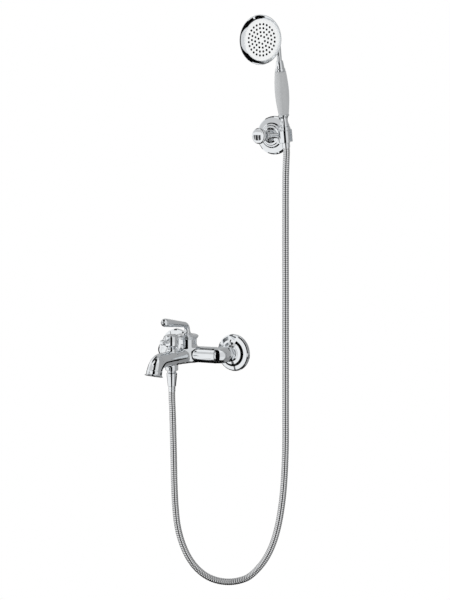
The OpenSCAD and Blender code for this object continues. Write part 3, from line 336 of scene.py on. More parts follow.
for first, last in ((-51, -43), (-41, -31), (-29, -21)):  # dark gaps across the room
    panel("dark_doorway_%d" % -last, 0.06, (first, last), (-8, 7))

LAMP_AIM = Vector((0.1, -0.05, 0.15))
LAMP_SIZE = 1.4
for lamp_name, spot, watts in (("soft_box_left", (-1.9, -2.0, 1.6), 50),
                               ("soft_box_right", (2.4, -1.2, 1.4), 12)):
    lamp = bpy.data.lights.new(lamp_name, "AREA")
    lamp.energy = watts
    lamp.size = LAMP_SIZE
    stand = new_object(lamp_name, lamp)
    stand.location = spot
    stand.rotation_euler = (LAMP_AIM - Vector(spot)).to_track_quat("-Z", "Y").to_euler()
    stand.visible_glossy = False

# The two inlets: eccentric unions of chromed brass screwed into the wall, with a fibre
# washer and a hexagon nut each, and a pressed brass escutcheon that covers the wall hole.


def polished_chrome(name, ripple_mm, ripple):
    """Chrome plate on brass: mirror bright, with the faint waves that the polishing wheel leaves
    and a thin uneven film that takes the edge off the gloss."""
    material, tree = new_material(name)
    place = add(tree, "ShaderNodeTexCoord")
    film = add(tree, "ShaderNodeTexNoise", {"Scale": 1 / (9 * MM), "Detail": 3, "Roughness": 0.6},
               {"Vector": place.outputs["Object"]})
    rough = add(tree, "ShaderNodeMapRange",
                {"From Min": 0.3, "From Max": 0.75, "To Min": 0.015, "To Max": 0.05},
                {"Value": film.outputs[0]})
    wave = add(tree, "ShaderNodeTexNoise", {"Scale": 1 / (ripple_mm * MM), "Detail": 1},
               {"Vector": place.outputs["Object"]})
    bump = add(tree, "ShaderNodeBump", {"Strength": 0.25, "Distance": ripple * MM},
               {"Height": wave.outputs[0]})
    surfaced(tree, "#eef0f2", "#dfe3e6", film.outputs[0], {"Metallic": 1},
             {"Roughness": rough.outputs["Result"], "Normal": bump.outputs[0]})
    return material


turned_chrome = polished_chrome("chrome_plate_turned", 14, 0.05)

# A corner that turns less than this stays one smooth point. A sharper one is rounded, with a
# point at each step of its arc, and takes no more than this share of the run on either side.
SMOOTH_TURN = math.radians(13)
ARC_STEP = math.radians(15)
RUN_SHARE = 0.46


def eased(outline, ease, closed):
    """Rounds the corners of an outline of (radius, height), or (radius, height, own rounding), and
    gives (radius, height, outward part and upward part of the normal) for each point."""
    points = [np.array(p[:2], float) for p in outline]
    rounds = [p[2] if len(p) > 2 else ease for p in outline]
    count = len(points)
    out = []
    for i, p in enumerate(points):
        if not closed and i in (0, count - 1):
            ahead = points[1] - p if i == 0 else p - points[-2]
            ahead /= np.linalg.norm(ahead)
            out.append((*p, ahead[1], -ahead[0]))
            continue
        before, after = p - points[i - 1], points[(i + 1) % count] - p
        run_in, run_out = np.linalg.norm(before), np.linalg.norm(after)
        d1, d2 = before / run_in, after / run_out
        turn = math.atan2(d1[0] * d2[1] - d1[1] * d2[0], d1.dot(d2))
        n1 = np.array([d1[1], -d1[0]])

        def normal(angle):
            c, s = math.cos(angle), math.sin(angle)
            return np.array([c * n1[0] - s * n1[1], s * n1[0] + c * n1[1]])

        if abs(turn) < SMOOTH_TURN:
            out.append((*p, *normal(turn / 2)))
            continue
        half = math.tan(abs(turn) / 2)
        reach = min(rounds[i] * half, RUN_SHARE * run_in, RUN_SHARE * run_out)
        r, way = reach / half, math.copysign(1, turn)
        middle = p - d1 * reach - way * r * n1
        steps = max(2, math.ceil(abs(turn) / ARC_STEP))
        for k in range(steps + 1):
            n = normal(turn * k / steps)
            out.append((*(middle + way * r * n), *n))
    return out


def lathe_rings(outline, origin, axis, ease, closed=False):
    """The rings of an outline turned about an axis: (centre, axis, radius, and the outward part
    and the part along the axis of the normal)."""
    origin, axis = np.array(origin, float), np.array(axis, float)
    return [(origin + axis * h, axis, r, out, along)
            for r, h, out, along in eased(outline, ease, closed)]


def skin(name, rings, material, around=96, closed=False):
    """A smooth closed mesh over rings. A ring of no radius is a single point."""
    turn = np.arange(around) * 2 * math.pi / around
    points, normals, loops, faces = [], [], [], []
    for centre, axis, radius, out, along in rings:
        axis = np.asarray(axis, float) / np.linalg.norm(axis)
        side = np.array([0, 1.0, 0]) if abs(axis[0]) > 0.9 else np.array([1.0, 0, 0])
        side = side - axis * side.dot(axis)
        side /= np.linalg.norm(side)
        ray = np.outer(np.cos(turn), side) + np.outer(np.sin(turn), np.cross(axis, side))
        if radius < 1e-6:
            ray = np.zeros((1, 3))
        loops.append(range(len(points), len(points) + len(ray)))
        points.extend(np.asarray(centre) + radius * ray)
        normals.extend(out * ray + along * axis)
    for a, b in list(zip(loops, loops[1:])) + ([(loops[-1], loops[0])] if closed else []):
        for k in range(around):
            n = (k + 1) % around
            if len(a) == 1:
                faces.append((a[0], b[n], b[k]))
            elif len(b) == 1:
                faces.append((a[k], a[n], b[0]))
            else:
                faces.append((a[k], a[n], b[n], b[k]))
    return shaped(name, np.array(points), faces, np.array(normals), material)


def shaped(name, points, faces, normals, material):
    """An object from points in millimetres, with its own smooth normals."""
    mesh = bpy.data.meshes.new(name)
    mesh.from_pydata((points * MM).tolist(), [], faces)
    mesh.shade_smooth()
    lengths = np.linalg.norm(normals, axis=1, keepdims=True)
    mesh.normals_split_custom_set_from_vertices((normals / np.maximum(lengths, 1e-9)).tolist())
    mesh.materials.append(material)
    return new_object(name, mesh)


def turned(name, outline, origin, axis, material, ease=0.4, around=96):
    """A piece turned on a lathe. The outline runs with the solid on its left, heights along the
    axis: from the axis back to the axis, or right round where the piece is bored through."""
    bored = outline[0][0] > 0
    return skin(name, lathe_rings(outline, origin, axis, ease, bored), material, around, bored)


def fitted(obj, body, slot, *nodes):
    """Fixes a finished piece to the body that carries it, in place of its plain solids."""
    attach(obj, body)
    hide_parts(*nodes)


def chromed(name, body, node, outline, origin, axis, ease=0.4, around=96):
    """A turned and chromed piece, fixed in place of its plain solid."""
    fitted(turned(name, outline, origin, axis, turned_chrome, ease, around), body, "chrome", node)


def thread(crest, depth, start, half_pitch, count):
    """Crests and roots of a screw thread, drawn as rings."""
    return [(crest - depth * (k % 2), start + half_pitch * k) for k in range(count)]


OUT = (0, -1, 0)
INLET_X = 75
SIDES = ((-1, "left"), (1, "right"))
for side, hand in SIDES:
    inlet = (INLET_X * side, 0, 0)
    union = [(7.5, -18), (9.6, -18), (10.45, -17)] + thread(10.45, 0.7, -16.4, 0.8, 20)
    union += [(10.45, 0), (13.2, 0), (13.2, 1)] + thread(13.2, 0.6, 8, 0.8, 22)
    union += [(13.2, 26.2), (12.4, 27.5), (7.5, 27.5)]
    chromed("inlet_union_" + hand + "_plated", "root", "inlet_union_" + hand,
            union, inlet, OUT, 0.12, 72)
    cover = [(40, 0), (40, 3), (39, 3.6), (39, 6), (36.8, 7.7, 0.6), (29, 9.5, 1), (24, 13, 1.2),
             (17.5, 15, 1.0), (15.6, 17.5, 0.8), (15.2, 20, 0.4), (13.25, 20, 0.3),
             (13.25, 13.2, 0.3), (20.5, 11.4, 0.6), (25, 8.6, 1), (37, 6, 0.5), (37, 0, 0.3)]
    chromed("escutcheon_" + hand + "_pressed", "root", "escutcheon_" + hand,
            cover, inlet, OUT, 0.5, 128)

# The mixer body is one hollow brass casting, ground and polished so that arms, tower and
# spout run into each other in soft fillets, then chrome plated.


def smooth_min(a, b, k):
    """The nearer of two distances, with a fillet about k wide where they meet."""
    h = np.maximum(k - np.abs(a - b), 0) / k
    return np.minimum(a, b) - h * h * k / 4


def smooth_max(a, b, k):
    """The farther of two distances, with an edge rounded about k wide where they meet."""
    return -smooth_min(-a, -b, k)


def bar(p, start, end, r, ease):
    """Distance to a straight round bar with flat ends."""
    start, end = np.array(start, float), np.array(end, float)
    length = np.linalg.norm(end - start)
    axis = (end - start) / length
    along = (p - start) @ axis
    off = np.linalg.norm(p - start - along[:, None] * axis, axis=1)
    return smooth_max(off - r, np.maximum(-along, along - length), ease)


def cast_mesh(distance, low, high, cell):
    """Points, faces and normals of the surface where a distance function is zero."""
    low, high = np.array(low, float), np.array(high, float)
    block = 12
    size = np.ceil((high - low) / (cell * block)).astype(int)
    cells = size * block
    field = np.full(cells + 1, 1e3)
    centres = np.stack(np.meshgrid(*[np.arange(n) for n in size], indexing="ij"), -1).reshape(-1, 3)
    middle = low + (centres + 0.5) * block * cell
    near = np.abs(distance(middle)) < block * cell * 0.95
    inside = (distance(middle) < 0) & ~near
    local = np.stack(np.meshgrid(*[np.arange(block + 1)] * 3, indexing="ij"), -1).reshape(-1, 3)

    def window(b):
        return tuple(slice(n, n + block + 1) for n in b * block)

    for b in centres[inside]:
        field[window(b)] = -1e3
    for b in centres[near]:
        field[window(b)] = distance(low + (b * block + local) * cell).reshape([block + 1] * 3)
    solid = field < 0
    corners = [(x, y, z) for x in (0, 1) for y in (0, 1) for z in (0, 1)]
    nx, ny, nz = cells
    count = sum(solid[x:nx + x, y:ny + y, z:nz + z].astype(int) for x, y, z in corners)
    crossed = np.argwhere((count > 0) & (count < 8))
    index = np.full(cells, -1)
    index[tuple(crossed.T)] = np.arange(len(crossed))
    total, weight = np.zeros((len(crossed), 3)), np.zeros(len(crossed))
    for a in corners:
        for axis in range(3):
            if a[axis]:
                continue
            b = tuple(a[i] + (i == axis) for i in range(3))
            va = field[tuple((crossed + a).T)]
            vb = field[tuple((crossed + b).T)]
            cut = (va < 0) != (vb < 0)
            share = np.where(cut, va / np.where(cut, va - vb, 1), 0)
            spot = crossed + np.array(a, float)
            spot[:, axis] += share
            total += np.where(cut[:, None], spot, 0)
            weight += cut
    points = low + total / weight[:, None] * cell

    def slope(p):
        step = 0.02
        return np.stack([distance(p + step * np.eye(3)[i]) - distance(p - step * np.eye(3)[i])
                         for i in range(3)], 1) / (2 * step)

    for _ in range(3):
        way = slope(points)
        move = distance(points)[:, None] * way / np.maximum((way ** 2).sum(1), 0.1)[:, None]
        points -= np.clip(move, -0.6 * cell, 0.6 * cell)
    faces = []
    for axis in range(3):
        u, v = (axis + 1) % 3, (axis + 2) % 3
        here = [slice(1, -1)] * 3
        here[axis] = slice(0, -1)
        ahead = list(here)
        ahead[axis] = slice(1, None)
        flips = np.argwhere(solid[tuple(here)] != solid[tuple(ahead)])
        flips += np.array([0 if i == axis else 1 for i in range(3)])
        eu, ev = np.eye(3, dtype=int)[u], np.eye(3, dtype=int)[v]
        quad = np.stack([index[tuple(q.T)] for q in (flips - eu - ev, flips - ev, flips,
                                                     flips - eu)], 1)
        out = solid[tuple(flips.T)]
        quad[~out] = quad[~out][:, ::-1]
        faces.append(quad)
    return points, np.concatenate(faces).tolist(), slope(points)


# The casting's axes and bends in millimetres. The wall's plane is at y = 0, the arms at z = 0.
TOWER_Y, DIVERTER_Y, ELBOW_Y = -70, -127, -51
ARM_R = 17.2
ELBOW_BEND, ELBOW_BEND_X, ELBOW_BEND_Y = 14, 61, -40.1
SPOUT_R, SPOUT_Z = 16, -2.5
SPOUT_BEND, SPOUT_BEND_Y, SPOUT_BEND_Z = 27, -163, -29.5
OUTLET_TILT, OUTLET_LENGTH = math.radians(-15), 10


def from_outlet(p):
    """Radius and height in the outlet's frame, height measured from its rim into the spout."""
    y, z = p[:, 1] - SPOUT_BEND_Y, p[:, 2] - SPOUT_BEND_Z
    c, s = math.cos(OUTLET_TILT), math.sin(OUTLET_TILT)
    return np.hypot(p[:, 0], y * c + z * s + SPOUT_BEND), -y * s + z * c + OUTLET_LENGTH


def mixer_distance(p):
    """Distance to the casting: tower, arms with their elbows, spout and pads, less the bores."""
    z = p[:, 2]
    tower_r = 22 - (1 - np.cos(np.clip((z - 13) / 10, 0, 1) * math.pi))
    tower = np.hypot(p[:, 0], p[:, 1] - TOWER_Y) - tower_r
    d = smooth_max(smooth_max(tower, -18 - z, 8), z - 34, 0.8)
    for side in (-1, 1):
        elbow = np.array([INLET_X * side, ELBOW_Y, 0])
        inward = np.array([0, TOWER_Y, 0]) - elbow
        share = np.clip((p - elbow) @ inward / inward.dot(inward), 0, 1)
        arm_r = ARM_R - 0.8 * share + 2 * share * (1 - share)
        # The elbow's bend takes up the first 10.9 mm of the 77.4 mm between elbow and tower.
        arm = bar(p, elbow + inward * 10.9 / 77.4, (0, TOWER_Y, 0), arm_r, 0.5)
        facing = np.arctan2(p[:, 0] * side - ELBOW_BEND_X, ELBOW_BEND_Y - p[:, 1])
        facing = np.clip(facing, math.radians(14.2), math.radians(90))
        spine = np.stack([(ELBOW_BEND_X + ELBOW_BEND * np.sin(facing)) * side,
                          ELBOW_BEND_Y - ELBOW_BEND * np.cos(facing), np.zeros(len(p))], 1)
        bend = smooth_max(np.linalg.norm(p - spine, axis=1) - ARM_R, 35.5 + p[:, 1], 1.0)
        tail = bar(p, (INLET_X * side, -29, 0), (INLET_X * side, -40, 0), 10.95, 0.4)
        d = smooth_min(d, smooth_min(arm, smooth_min(bend, tail, 0.3), 1.5), 5)
    run = bar(p, (0, TOWER_Y, SPOUT_Z), (0, SPOUT_BEND_Y, SPOUT_Z), SPOUT_R, 0.2)
    facing = np.arctan2(SPOUT_BEND_Y - p[:, 1], z - SPOUT_BEND_Z)
    facing = np.clip(facing, 0, math.radians(75))
    spine = np.stack([np.zeros(len(p)), SPOUT_BEND_Y - SPOUT_BEND * np.sin(facing),
                      SPOUT_BEND_Z + SPOUT_BEND * np.cos(facing)], 1)
    r, h = from_outlet(p)
    bend = smooth_max(np.linalg.norm(p - spine, axis=1) - SPOUT_R, 2 - h, 0.5)
    flare = 3.0 * np.clip((3.8 - h) / 2.2, 0, 1) ** 1.5
    chamfer = 1.0 * np.clip((1.4 - h) / 1.4, 0, 1)
    outlet = smooth_max(smooth_max(r - (16.5 + flare - chamfer), -h, 1.6), h - 11, 0.5)
    d = smooth_min(d, smooth_min(np.minimum(run, bend), outlet, 1.5), 6)
    pads = (0, DIVERTER_Y, SPOUT_Z)
    d = smooth_min(d, bar(p, pads, (0, DIVERTER_Y, 14.5), 13, 1.0), 2.5)
    d = smooth_min(d, bar(p, pads, (0, DIVERTER_Y, -28), 13.5, 1.4), 3)
    d = smooth_max(d, -bar(p, (0, TOWER_Y, 5), (0, TOWER_Y, 40), 17, 0.2), 0.5)
    d = smooth_max(d, -bar(p, (0, DIVERTER_Y, -15), (0, DIVERTER_Y, 20), 9, 0.2), 0.5)
    return smooth_max(d, -np.maximum(r - 14, h - 10.5), 0.8)


cast_chrome = polished_chrome("chrome_plate_cast", 22, 0.12)
mixer = cast_mesh(mixer_distance, (-98, -215, -52), (98, -24, 40), 1.0)
fitted(shaped("mixer_body_cast", *mixer, cast_chrome), "root", "chrome", "mixer_body")

NUT_FLATS, NUT_MIDDLE, NUT_HALF = 15.5, 28, 7


def nut_distance(p, x):
    """A union nut: a hexagon bar chamfered at both ends, bored for the union's thread."""
    u = -p[:, 1]
    off = np.hypot(p[:, 0] - x, p[:, 2])
    angle = np.arctan2(p[:, 2], p[:, 0] - x)
    sixth = np.mod(angle, math.pi / 3) - math.pi / 6
    flats = off * np.cos(sixth) - NUT_FLATS
    ends = np.abs(u - NUT_MIDDLE) - NUT_HALF
    cones = (off - NUT_FLATS) * 0.66 + ends * 0.75
    d = smooth_max(smooth_max(flats, cones, 0.3), ends, 0.3)
    d = smooth_max(d, -np.maximum(off - 13.25, u - 31.05), 0.2)
    return smooth_max(d, -(off - 11.0), 0.2)


for side, hand in SIDES:
    x = INLET_X * side
    nut = cast_mesh(lambda p: nut_distance(p, x), (x - 20, -37, -20), (x + 20, -19, 20), 0.5)
    fitted(shaped("union_nut_" + hand + "_plated", *nut, turned_chrome),
           "root", "chrome", "union_nut_" + hand)

# Inside the tower sits a ceramic disc cartridge: an acetal housing with rubber seals under
# it, two lapped discs, their carriage, and a brass stem that the lever tilts on a pin.


def plain_part(name, pale, dark, grain_mm, rough, metal=0.0):
    """A working material whose tone and gloss wander a little over its surface."""
    material, tree = new_material(name)
    place = add(tree, "ShaderNodeTexCoord")
    grain = add(tree, "ShaderNodeTexNoise",
                {"Scale": 1 / (grain_mm * MM), "Detail": 4, "Roughness": 0.6},
                {"Vector": place.outputs["Object"]})
    gloss = add(tree, "ShaderNodeMapRange", {"To Min": rough - 0.06, "To Max": rough + 0.08},
                {"Value": grain.outputs[0]})
    bump = add(tree, "ShaderNodeBump", {"Strength": 0.2, "Distance": 0.05 * MM},
               {"Height": grain.outputs[0]})
    surfaced(tree, pale, dark, grain.outputs[0], {"Metallic": metal},
             {"Roughness": gloss.outputs["Result"], "Normal": bump.outputs[0]})
    return material


# Brass off the lathe is warm yellow and satin. Nitrile is matt and nearly black, lapped alumina
# cream with a soft sheen, acetal milky and waxy, and pressed fibre matt and red-brown.
turned_brass = plain_part("turned_brass", "#c9a35c", "#a8843f", 2.5, 0.3, 1.0)
nitrile_rubber = plain_part("nitrile_rubber", "#2a2a2b", "#1c1c1d", 1.2, 0.7)
lapped_ceramic = plain_part("lapped_alumina", "#f1eee6", "#e2ded4", 4, 0.16)
moulded_acetal = plain_part("moulded_acetal", "#e6e6e2", "#d6d6d2", 3, 0.4)
pressed_fibre = plain_part("pressed_fibre", "#8a5443", "#6d3f31", 0.8, 0.85)


def finished(material, *nodes):
    """Gives solids that keep their shape the finish of the real piece."""
    for name in nodes:
        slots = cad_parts[name].data.materials
        slots.clear()
        slots.append(material)


finished(pressed_fibre, "inlet_washers")
finished(nitrile_rubber, "cartridge_seals")
finished(moulded_acetal, "cartridge_housing", "disc_carriage", "cartridge_rotor")
finished(lapped_ceramic, "fixed_disc", "moving_disc")
finished(turned_brass, "tilt_pin", "cartridge_stem", "cartridge_nut")

# The tower cap is turned brass, chromed. It screws down on the cartridge and its rim stands
# round the ball of the lever like a stepped collar.


def arc(cx, cy, rx, ry, a0, a1, n):
    """Points of an arc of (radius, height), angles in degrees."""
    return [(cx + rx * math.cos(math.radians(a)), cy + ry * math.sin(math.radians(a)))
            for a in np.linspace(a0, a1, n + 1)]


PIVOT = (0, TOWER_Y, 34)
UP = (0, 0, 1)
ball_hole = 13.85
cap_top = math.degrees(math.asin(8 / ball_hole))
cap_foot = -math.degrees(math.asin(2 / ball_hole))
cap = [(16.95, -2, 0.3), (16.95, 0, 0.2), (21.5, 0, 0.2), (22.1, 0.8), (22.1, 1.8),
       (21.5, 2.6, 0.3), (23.2, 3, 0.4), (24, 4, 0.8), (24, 5.2, 0.8), (23, 6.2, 0.8),
       (21, 6.6, 0.8), (20, 8, 0.8)] + arc(0, 0, ball_hole, ball_hole, cap_top, cap_foot, 12)
chromed("tower_cap_turned", "root", "tower_cap", cap, PIVOT, UP, 0.4, 128)

# The lever is a brass forging: a hollow ball that the cartridge stem drives, a slim neck that
# bends forward, and an arm that swells to its end, closed by a turned button.
ball, hollow = 13.5, 11.8
lever_r, lever_neck, lever_bend, lever_turn = 5.95, 16.5, 14, math.radians(80)
root = [(0, hollow)] + arc(0, 0, hollow, hollow, 89.9, -4.5, 16)[1:]
root += [(math.sqrt(ball ** 2 - 1), -1, 0.3)] + arc(0, 0, ball, ball, 2, 55, 12)
root += [(7.2, 12.6, 2.0), (6.6, 14), (lever_r, lever_neck)]
lever = lathe_rings(root, PIVOT, UP, 0.5)[:-1]
for a in np.linspace(0, lever_turn, 25):
    centre = (0, TOWER_Y - lever_bend * (1 - math.cos(a)),
              PIVOT[2] + lever_neck + lever_bend * math.sin(a))
    lever.append((centre, (0, -math.sin(a), math.cos(a)), lever_r, 1, 0))
arm_way = np.array([0, -math.sin(lever_turn), math.cos(lever_turn)])
arm_from = np.array(lever[-1][0])
swell = [(lever_r, 0.5), (6.15, 6), (7.2, 30), (8.2, 52), (8.75, 66), (8.75, 70, 0.5),
         (8.3, 70.4), (0, 70.4)]
lever += lathe_rings(swell, arm_from, arm_way, 0.4)
fitted(skin("lever_handle_forged", lever, turned_chrome), "lever", "chrome", "lever_handle")

tip = [(0, -6), (4, -6, 0.3), (4, 0, 0.2), (7.35, 0, 0.2), (7.35, 1.6, 0.3), (8.45, 2.2, 0.3),
       (8.45, 3, 0.6), (7.4, 4.8, 4), (5.425, 7, 5), (2.975, 9, 3), (1.75, 9.6, 1.5), (0, 9.8)]
chromed("lever_tip_turned", "lever", "lever_tip", tip, arm_from + arm_way * 70, arm_way, 0.4, 72)
finished(turned_brass, "lever_screw")

# The diverter: a chromed bonnet on the spout's pad, a turned knob on the brass plug's
# spindle, and a short pin with a ball end to turn it by.
AT_DIVERTER = (0, DIVERTER_Y, 0)
bonnet = [(5.05, 9.5, 0.2), (8.95, 9.5, 0.3), (8.95, 14.5, 0.2), (12, 14.5, 0.2),
          (12, 17.5, 0.6), (10.5, 19, 0.6), (5.05, 19, 0.2)]
chromed("diverter_bonnet_turned", "root", "diverter_bonnet", bonnet, AT_DIVERTER, UP)
knob = [(0, 40.65), (5.05, 40.65, 0.2), (5.05, 19.35, 0.2), (10, 19.35, 0.3), (9, 20.35),
        (9, 21.35, 0.5), (11.5, 22.35, 1.5), (13.9, 25.35, 4), (14.5, 28.35, 4),
        (14.5, 44.35, 0.4), (13.9, 44.95, 0.3), (13.9, 45.75, 0.5), (12.9, 46.75, 1.2),
        (10.5, 47.75, 4), (5, 48.2, 4), (0, 48.35)]
chromed("diverter_knob_turned", "diverter", "diverter_knob", knob, AT_DIVERTER, UP, 0.4, 112)
PIN = (0, DIVERTER_Y, 35.35)
pin = [(0, 5.2), (3, 5.2, 0.2), (3, 14.6, 0.2), (4.4, 14.6, 0.3), (4.9, 15.8, 0.8),
       (4.4, 17.2, 0.8), (3, 18.6, 1.0), (2.6, 20, 1.0), (2.6, 34, 0.2), (0, 34)]
chromed("diverter_pin_turned", "diverter", "diverter_pin", pin, PIN, OUT, 0.4, 48)
pin_end = [(0, 34.2), (2.66, 34.2, 0.1), (2.66, 28, 0.2), (3.75, 28, 0.5), (4.95, 29.2, 0.8),
           (5.75, 31, 2), (5.75, 35, 1.2), (4.95, 36.2, 0.8), (3.35, 37, 1.5), (0, 37)]
chromed("diverter_pin_knob_turned", "diverter", "diverter_pin_knob", pin_end, PIN, OUT, 0.5, 64)
finished(turned_brass, "diverter_spindle")
finished(nitrile_rubber, "diverter_seal")

# The aerator screws into the spout's mouth: a chromed brass ring round a moulded screen,
# sealed by a rubber washer.
finished(turned_chrome, "aerator_housing")
finished(moulded_acetal, "aerator_screen")
finished(nitrile_rubber, "aerator_washer")

# Under the spout a chromed nipple takes the hose's conical nut, and a ferrule pressed on the
# hose's end holds it there against a rubber washer.
nipple = [(5.5, -41, 0.3), (8.7, -41, 0.3), (9.4, -40.2, 0.2)] + thread(9.4, 0.5, -39.6, 0.7, 12)
nipple += [(9.4, -31, 0.3), (9.4, -21, 0.3), (5.5, -21, 0.3)]
chromed("hose_nipple_plated", "root", "hose_nipple", nipple, AT_DIVERTER, UP, 0.12, 72)
hose_nut = [(7.3, -62.5, 0.2), (8.1, -62.5, 0.3), (8.6, -61.9, 0.4), (10.9, -39.3, 0.3),
            (10.6, -38.9, 0.2), (10.9, -38.5, 0.3), (11.2, -34.7, 0.8), (10, -33.5, 0.6),
            (9.45, -33.5, 0.2), (9.45, -44, 0.2), (7.3, -44, 0.2)]
chromed("hose_nut_lower_turned", "root", "hose_nut_lower", hose_nut, AT_DIVERTER, UP)
ferrule = [(4.5, -73.5, 0.2), (7.05, -73.5, 0.3), (7.25, -72.6, 0.4), (7.25, -68.9, 0.2),
           (6.95, -68.5, 0.2), (7.25, -68.1, 0.2), (7.25, -44, 0.2), (9.3, -44, 0.2),
           (9.3, -42.5, 0.2), (4.5, -42.5, 0.2)]
chromed("hose_ferrule_lower_pressed", "root", "hose_ferrule_lower",
        ferrule, AT_DIVERTER, UP, 0.3, 72)
finished(nitrile_rubber, "hose_washer_lower", "hose_washer_upper")

# The wall bracket: a plated steel plate with two screw holes, a stepped rosette pushed over
# it, and a stem that carries the holder's hub between a washer and the clamp knob.
BRACKET = (176, 0, 468)
finished(turned_chrome, "bracket_plate")
rosette = [(32, 0, 0.3), (40, 0, 0.3), (40, 2.5, 0.4), (39.2, 3.2, 0.2), (39.2, 7, 0.4),
           (37, 8.6, 0.6), (26.5, 11.8, 0.5), (23.9, 14.3, 0.6), (21.3, 14.9, 0.4),
           (19.8, 16.4, 0.5), (16.4, 17.6, 0.4), (14.6, 19.5, 0.5), (13, 21, 0.4),
           (9.55, 21, 0.3), (9.55, 5, 0.2), (32, 5, 0.3)]
chromed("bracket_rosette_spun", "root", "bracket_rosette", rosette, BRACKET, OUT, 0.4, 144)
stem = [(0, 0), (5, 0, 0.3), (5, 4, 0.2), (9.5, 4, 0.2), (9.5, 23.4, 0.3), (7, 23.4, 0.2),
        (7, 41.6, 0.3), (5, 41.6, 0.2), (5, 57.6, 0.3), (4.4, 58.2, 0.2), (0, 58.2)]
chromed("bracket_stem_turned", "root", "bracket_stem", stem, BRACKET, OUT, 0.3, 64)

# The holder swings on that stem: a hub, a slim arm with a collar at each end, and a conical
# socket with a slot that lets the hose pass. The knob and its washer clamp the hub.
lean_out = np.array([0, -math.cos(hose_lean), -math.sin(hose_lean)])
HUB_X, HUB_Z = BRACKET[0], BRACKET[2]
ARM_AXIS = HOLDER[1:]
ARM_BORE = 3.75


def hub_distance(p):
    """Distance to the hub: a barrel with a boss, bored for the stem and for the arm."""
    d = bar(p, (HUB_X, -23.5, HUB_Z), (HUB_X, -41.5, HUB_Z), 11, 1.6)
    d = smooth_min(d, bar(p, (HUB_X, *ARM_AXIS), (189, *ARM_AXIS), 7, 0.6), 2.5)
    d = smooth_max(d, -(np.hypot(p[:, 0] - HUB_X, p[:, 2] - HUB_Z) - 7.05), 0.3)
    return smooth_max(d, -bar(p, (185.9, *ARM_AXIS), (195, *ARM_AXIS), ARM_BORE, 0.2), 0.2)


hub = cast_mesh(hub_distance, (163, -44, 455), (191, -21, 481), 0.5)
fitted(shaped("holder_hub_cast", *hub, cast_chrome), "holder", "chrome", "holder_hub")

ALONG = (1, 0, 0)
holder_bar = [(0, 10), (3.7, 10, 0.2), (3.7, 13, 0.2), (6.2, 13, 0.4), (6.2, 15, 0.4),
              (5.2, 15.2, 0.4), (5.2, 28, 0.4), (6.2, 28.25, 0.4), (6.2, 30.25, 0.4),
              (3.7, 30.25, 0.2), (3.7, 33.25, 0.2), (0, 33.25)]
chromed("holder_arm_turned", "holder", "holder_arm",
        holder_bar, (HUB_X, *ARM_AXIS), ALONG, 0.4, 64)


def socket_distance(p):
    """Distance to the socket: a leaning barrel with a boss, a conical bore and a slot."""
    q = p - HOLDER
    t = q @ lean_up - SOCKET_HALF
    x, y = q[:, 0], q @ lean_out
    off = np.hypot(x, y)
    d = smooth_max(off - 14.25, np.abs(t + SOCKET_HALF) - SOCKET_HALF, 1.4)
    d = smooth_min(d, bar(p, (206.25, *ARM_AXIS), (214.9, *ARM_AXIS), 6.7, 0.6), 2.0)
    bore = 10.65 + 0.0444 * t
    d = smooth_max(d, bore - off, 0.8)
    slot_half = 7.75
    d = smooth_max(d, -np.maximum(np.abs(y) - slot_half, -x), 0.8)
    slope = math.radians(62)
    d = smooth_max(d, (x - 9.75) * math.cos(slope) + t * math.sin(slope), 1.0)
    return smooth_max(d, -bar(p, (HUB_X, *ARM_AXIS), (209.35, *ARM_AXIS), ARM_BORE, 0.2), 0.2)


socket = cast_mesh(socket_distance, (204, -51, 452), (239, -14, 484), 0.5)
fitted(shaped("holder_socket_cast", *socket, cast_chrome), "holder", "chrome", "holder_socket")
washer = [(5.05, 41.6, 0.1), (10, 41.6, 0.3), (10, 43.1, 0.3), (5.05, 43.1, 0.1)]
chromed("clamp_washer_turned", "root", "clamp_washer", washer, BRACKET, OUT, 0.3, 64)
clamp = [(0, 58.3), (5.05, 58.3, 0.2), (5.05, 43.2, 0.2), (8.5, 43.2, 0.4), (8.5, 46.2, 1.0),
         (10, 49.2, 3), (14.5, 56.7, 2), (16.1, 58.2, 1.0), (16.5, 60.2, 1.5)]
clamp += arc(12.3, 61, 4.2, 3.9, 5, 78, 10)
clamp += [(r, 66.2 - r * r / 150) for r in (12, 10, 8, 6, 4, 2)] + [(0, 66.2)]
chromed("clamp_knob_turned", "clamp", "clamp_knob", clamp, BRACKET, OUT, 0.4, 112)

# The hose's upper end: a chromed cone that rests in the socket, with the sleeve that guides
# the hose below it.
TOP = handset_point(0)
cone = [(8.0, -27, 0.2), (8.6, -27, 0.3), (9.1, -26.5, 0.4), (10.3, 0.1, 0.3), (11.7, 0.1, 0.3),
        (11.7, 2, 0.6), (10.4, 6.5, 0.4), (9.9, 7, 0.3), (8.05, 7, 0.2), (8.05, -10.5, 0.2)]
chromed("hose_cone_turned", "hose_end", "hose_nut_upper", cone, TOP, lean_up)
sleeve = [(7.35, -37, 0.1), (7.95, -37, 0.2), (7.95, -20, 0.1), (7.35, -20, 0.1)]
chromed("hose_sleeve_pressed", "hose_end", "hose_ferrule_upper", sleeve, TOP, lean_up, 0.2, 72)

# The hand shower's stem: a turned chrome tail, the moulded grip, a ring, a tapering collar
# and a bent tube that carries the head.
tail = [(4.5, -9, 0.2), (7.4, -9, 0.3), (8, -8.4, 0.2), (8, 7.1, 0.2), (9, 7.1, 0.3),
        (9.8, 7.9, 0.4), (9.8, 10.5, 0.5), (8.8, 11.5, 0.6), (8.4, 13.1, 1.0), (7.6, 18.1, 8),
        (7.8, 23.1, 8), (9.3, 27.1, 3), (11.1, 28.7, 0.8), (11.1, 31.1, 0.3), (6.05, 31.1, 0.2),
        (6.05, 21.1, 0.2), (4.5, 21.1, 0.2)]
chromed("handset_tail_turned", "handset", "handset_tail", tail, TOP, lean_up)
ABS_IOR = 1.53


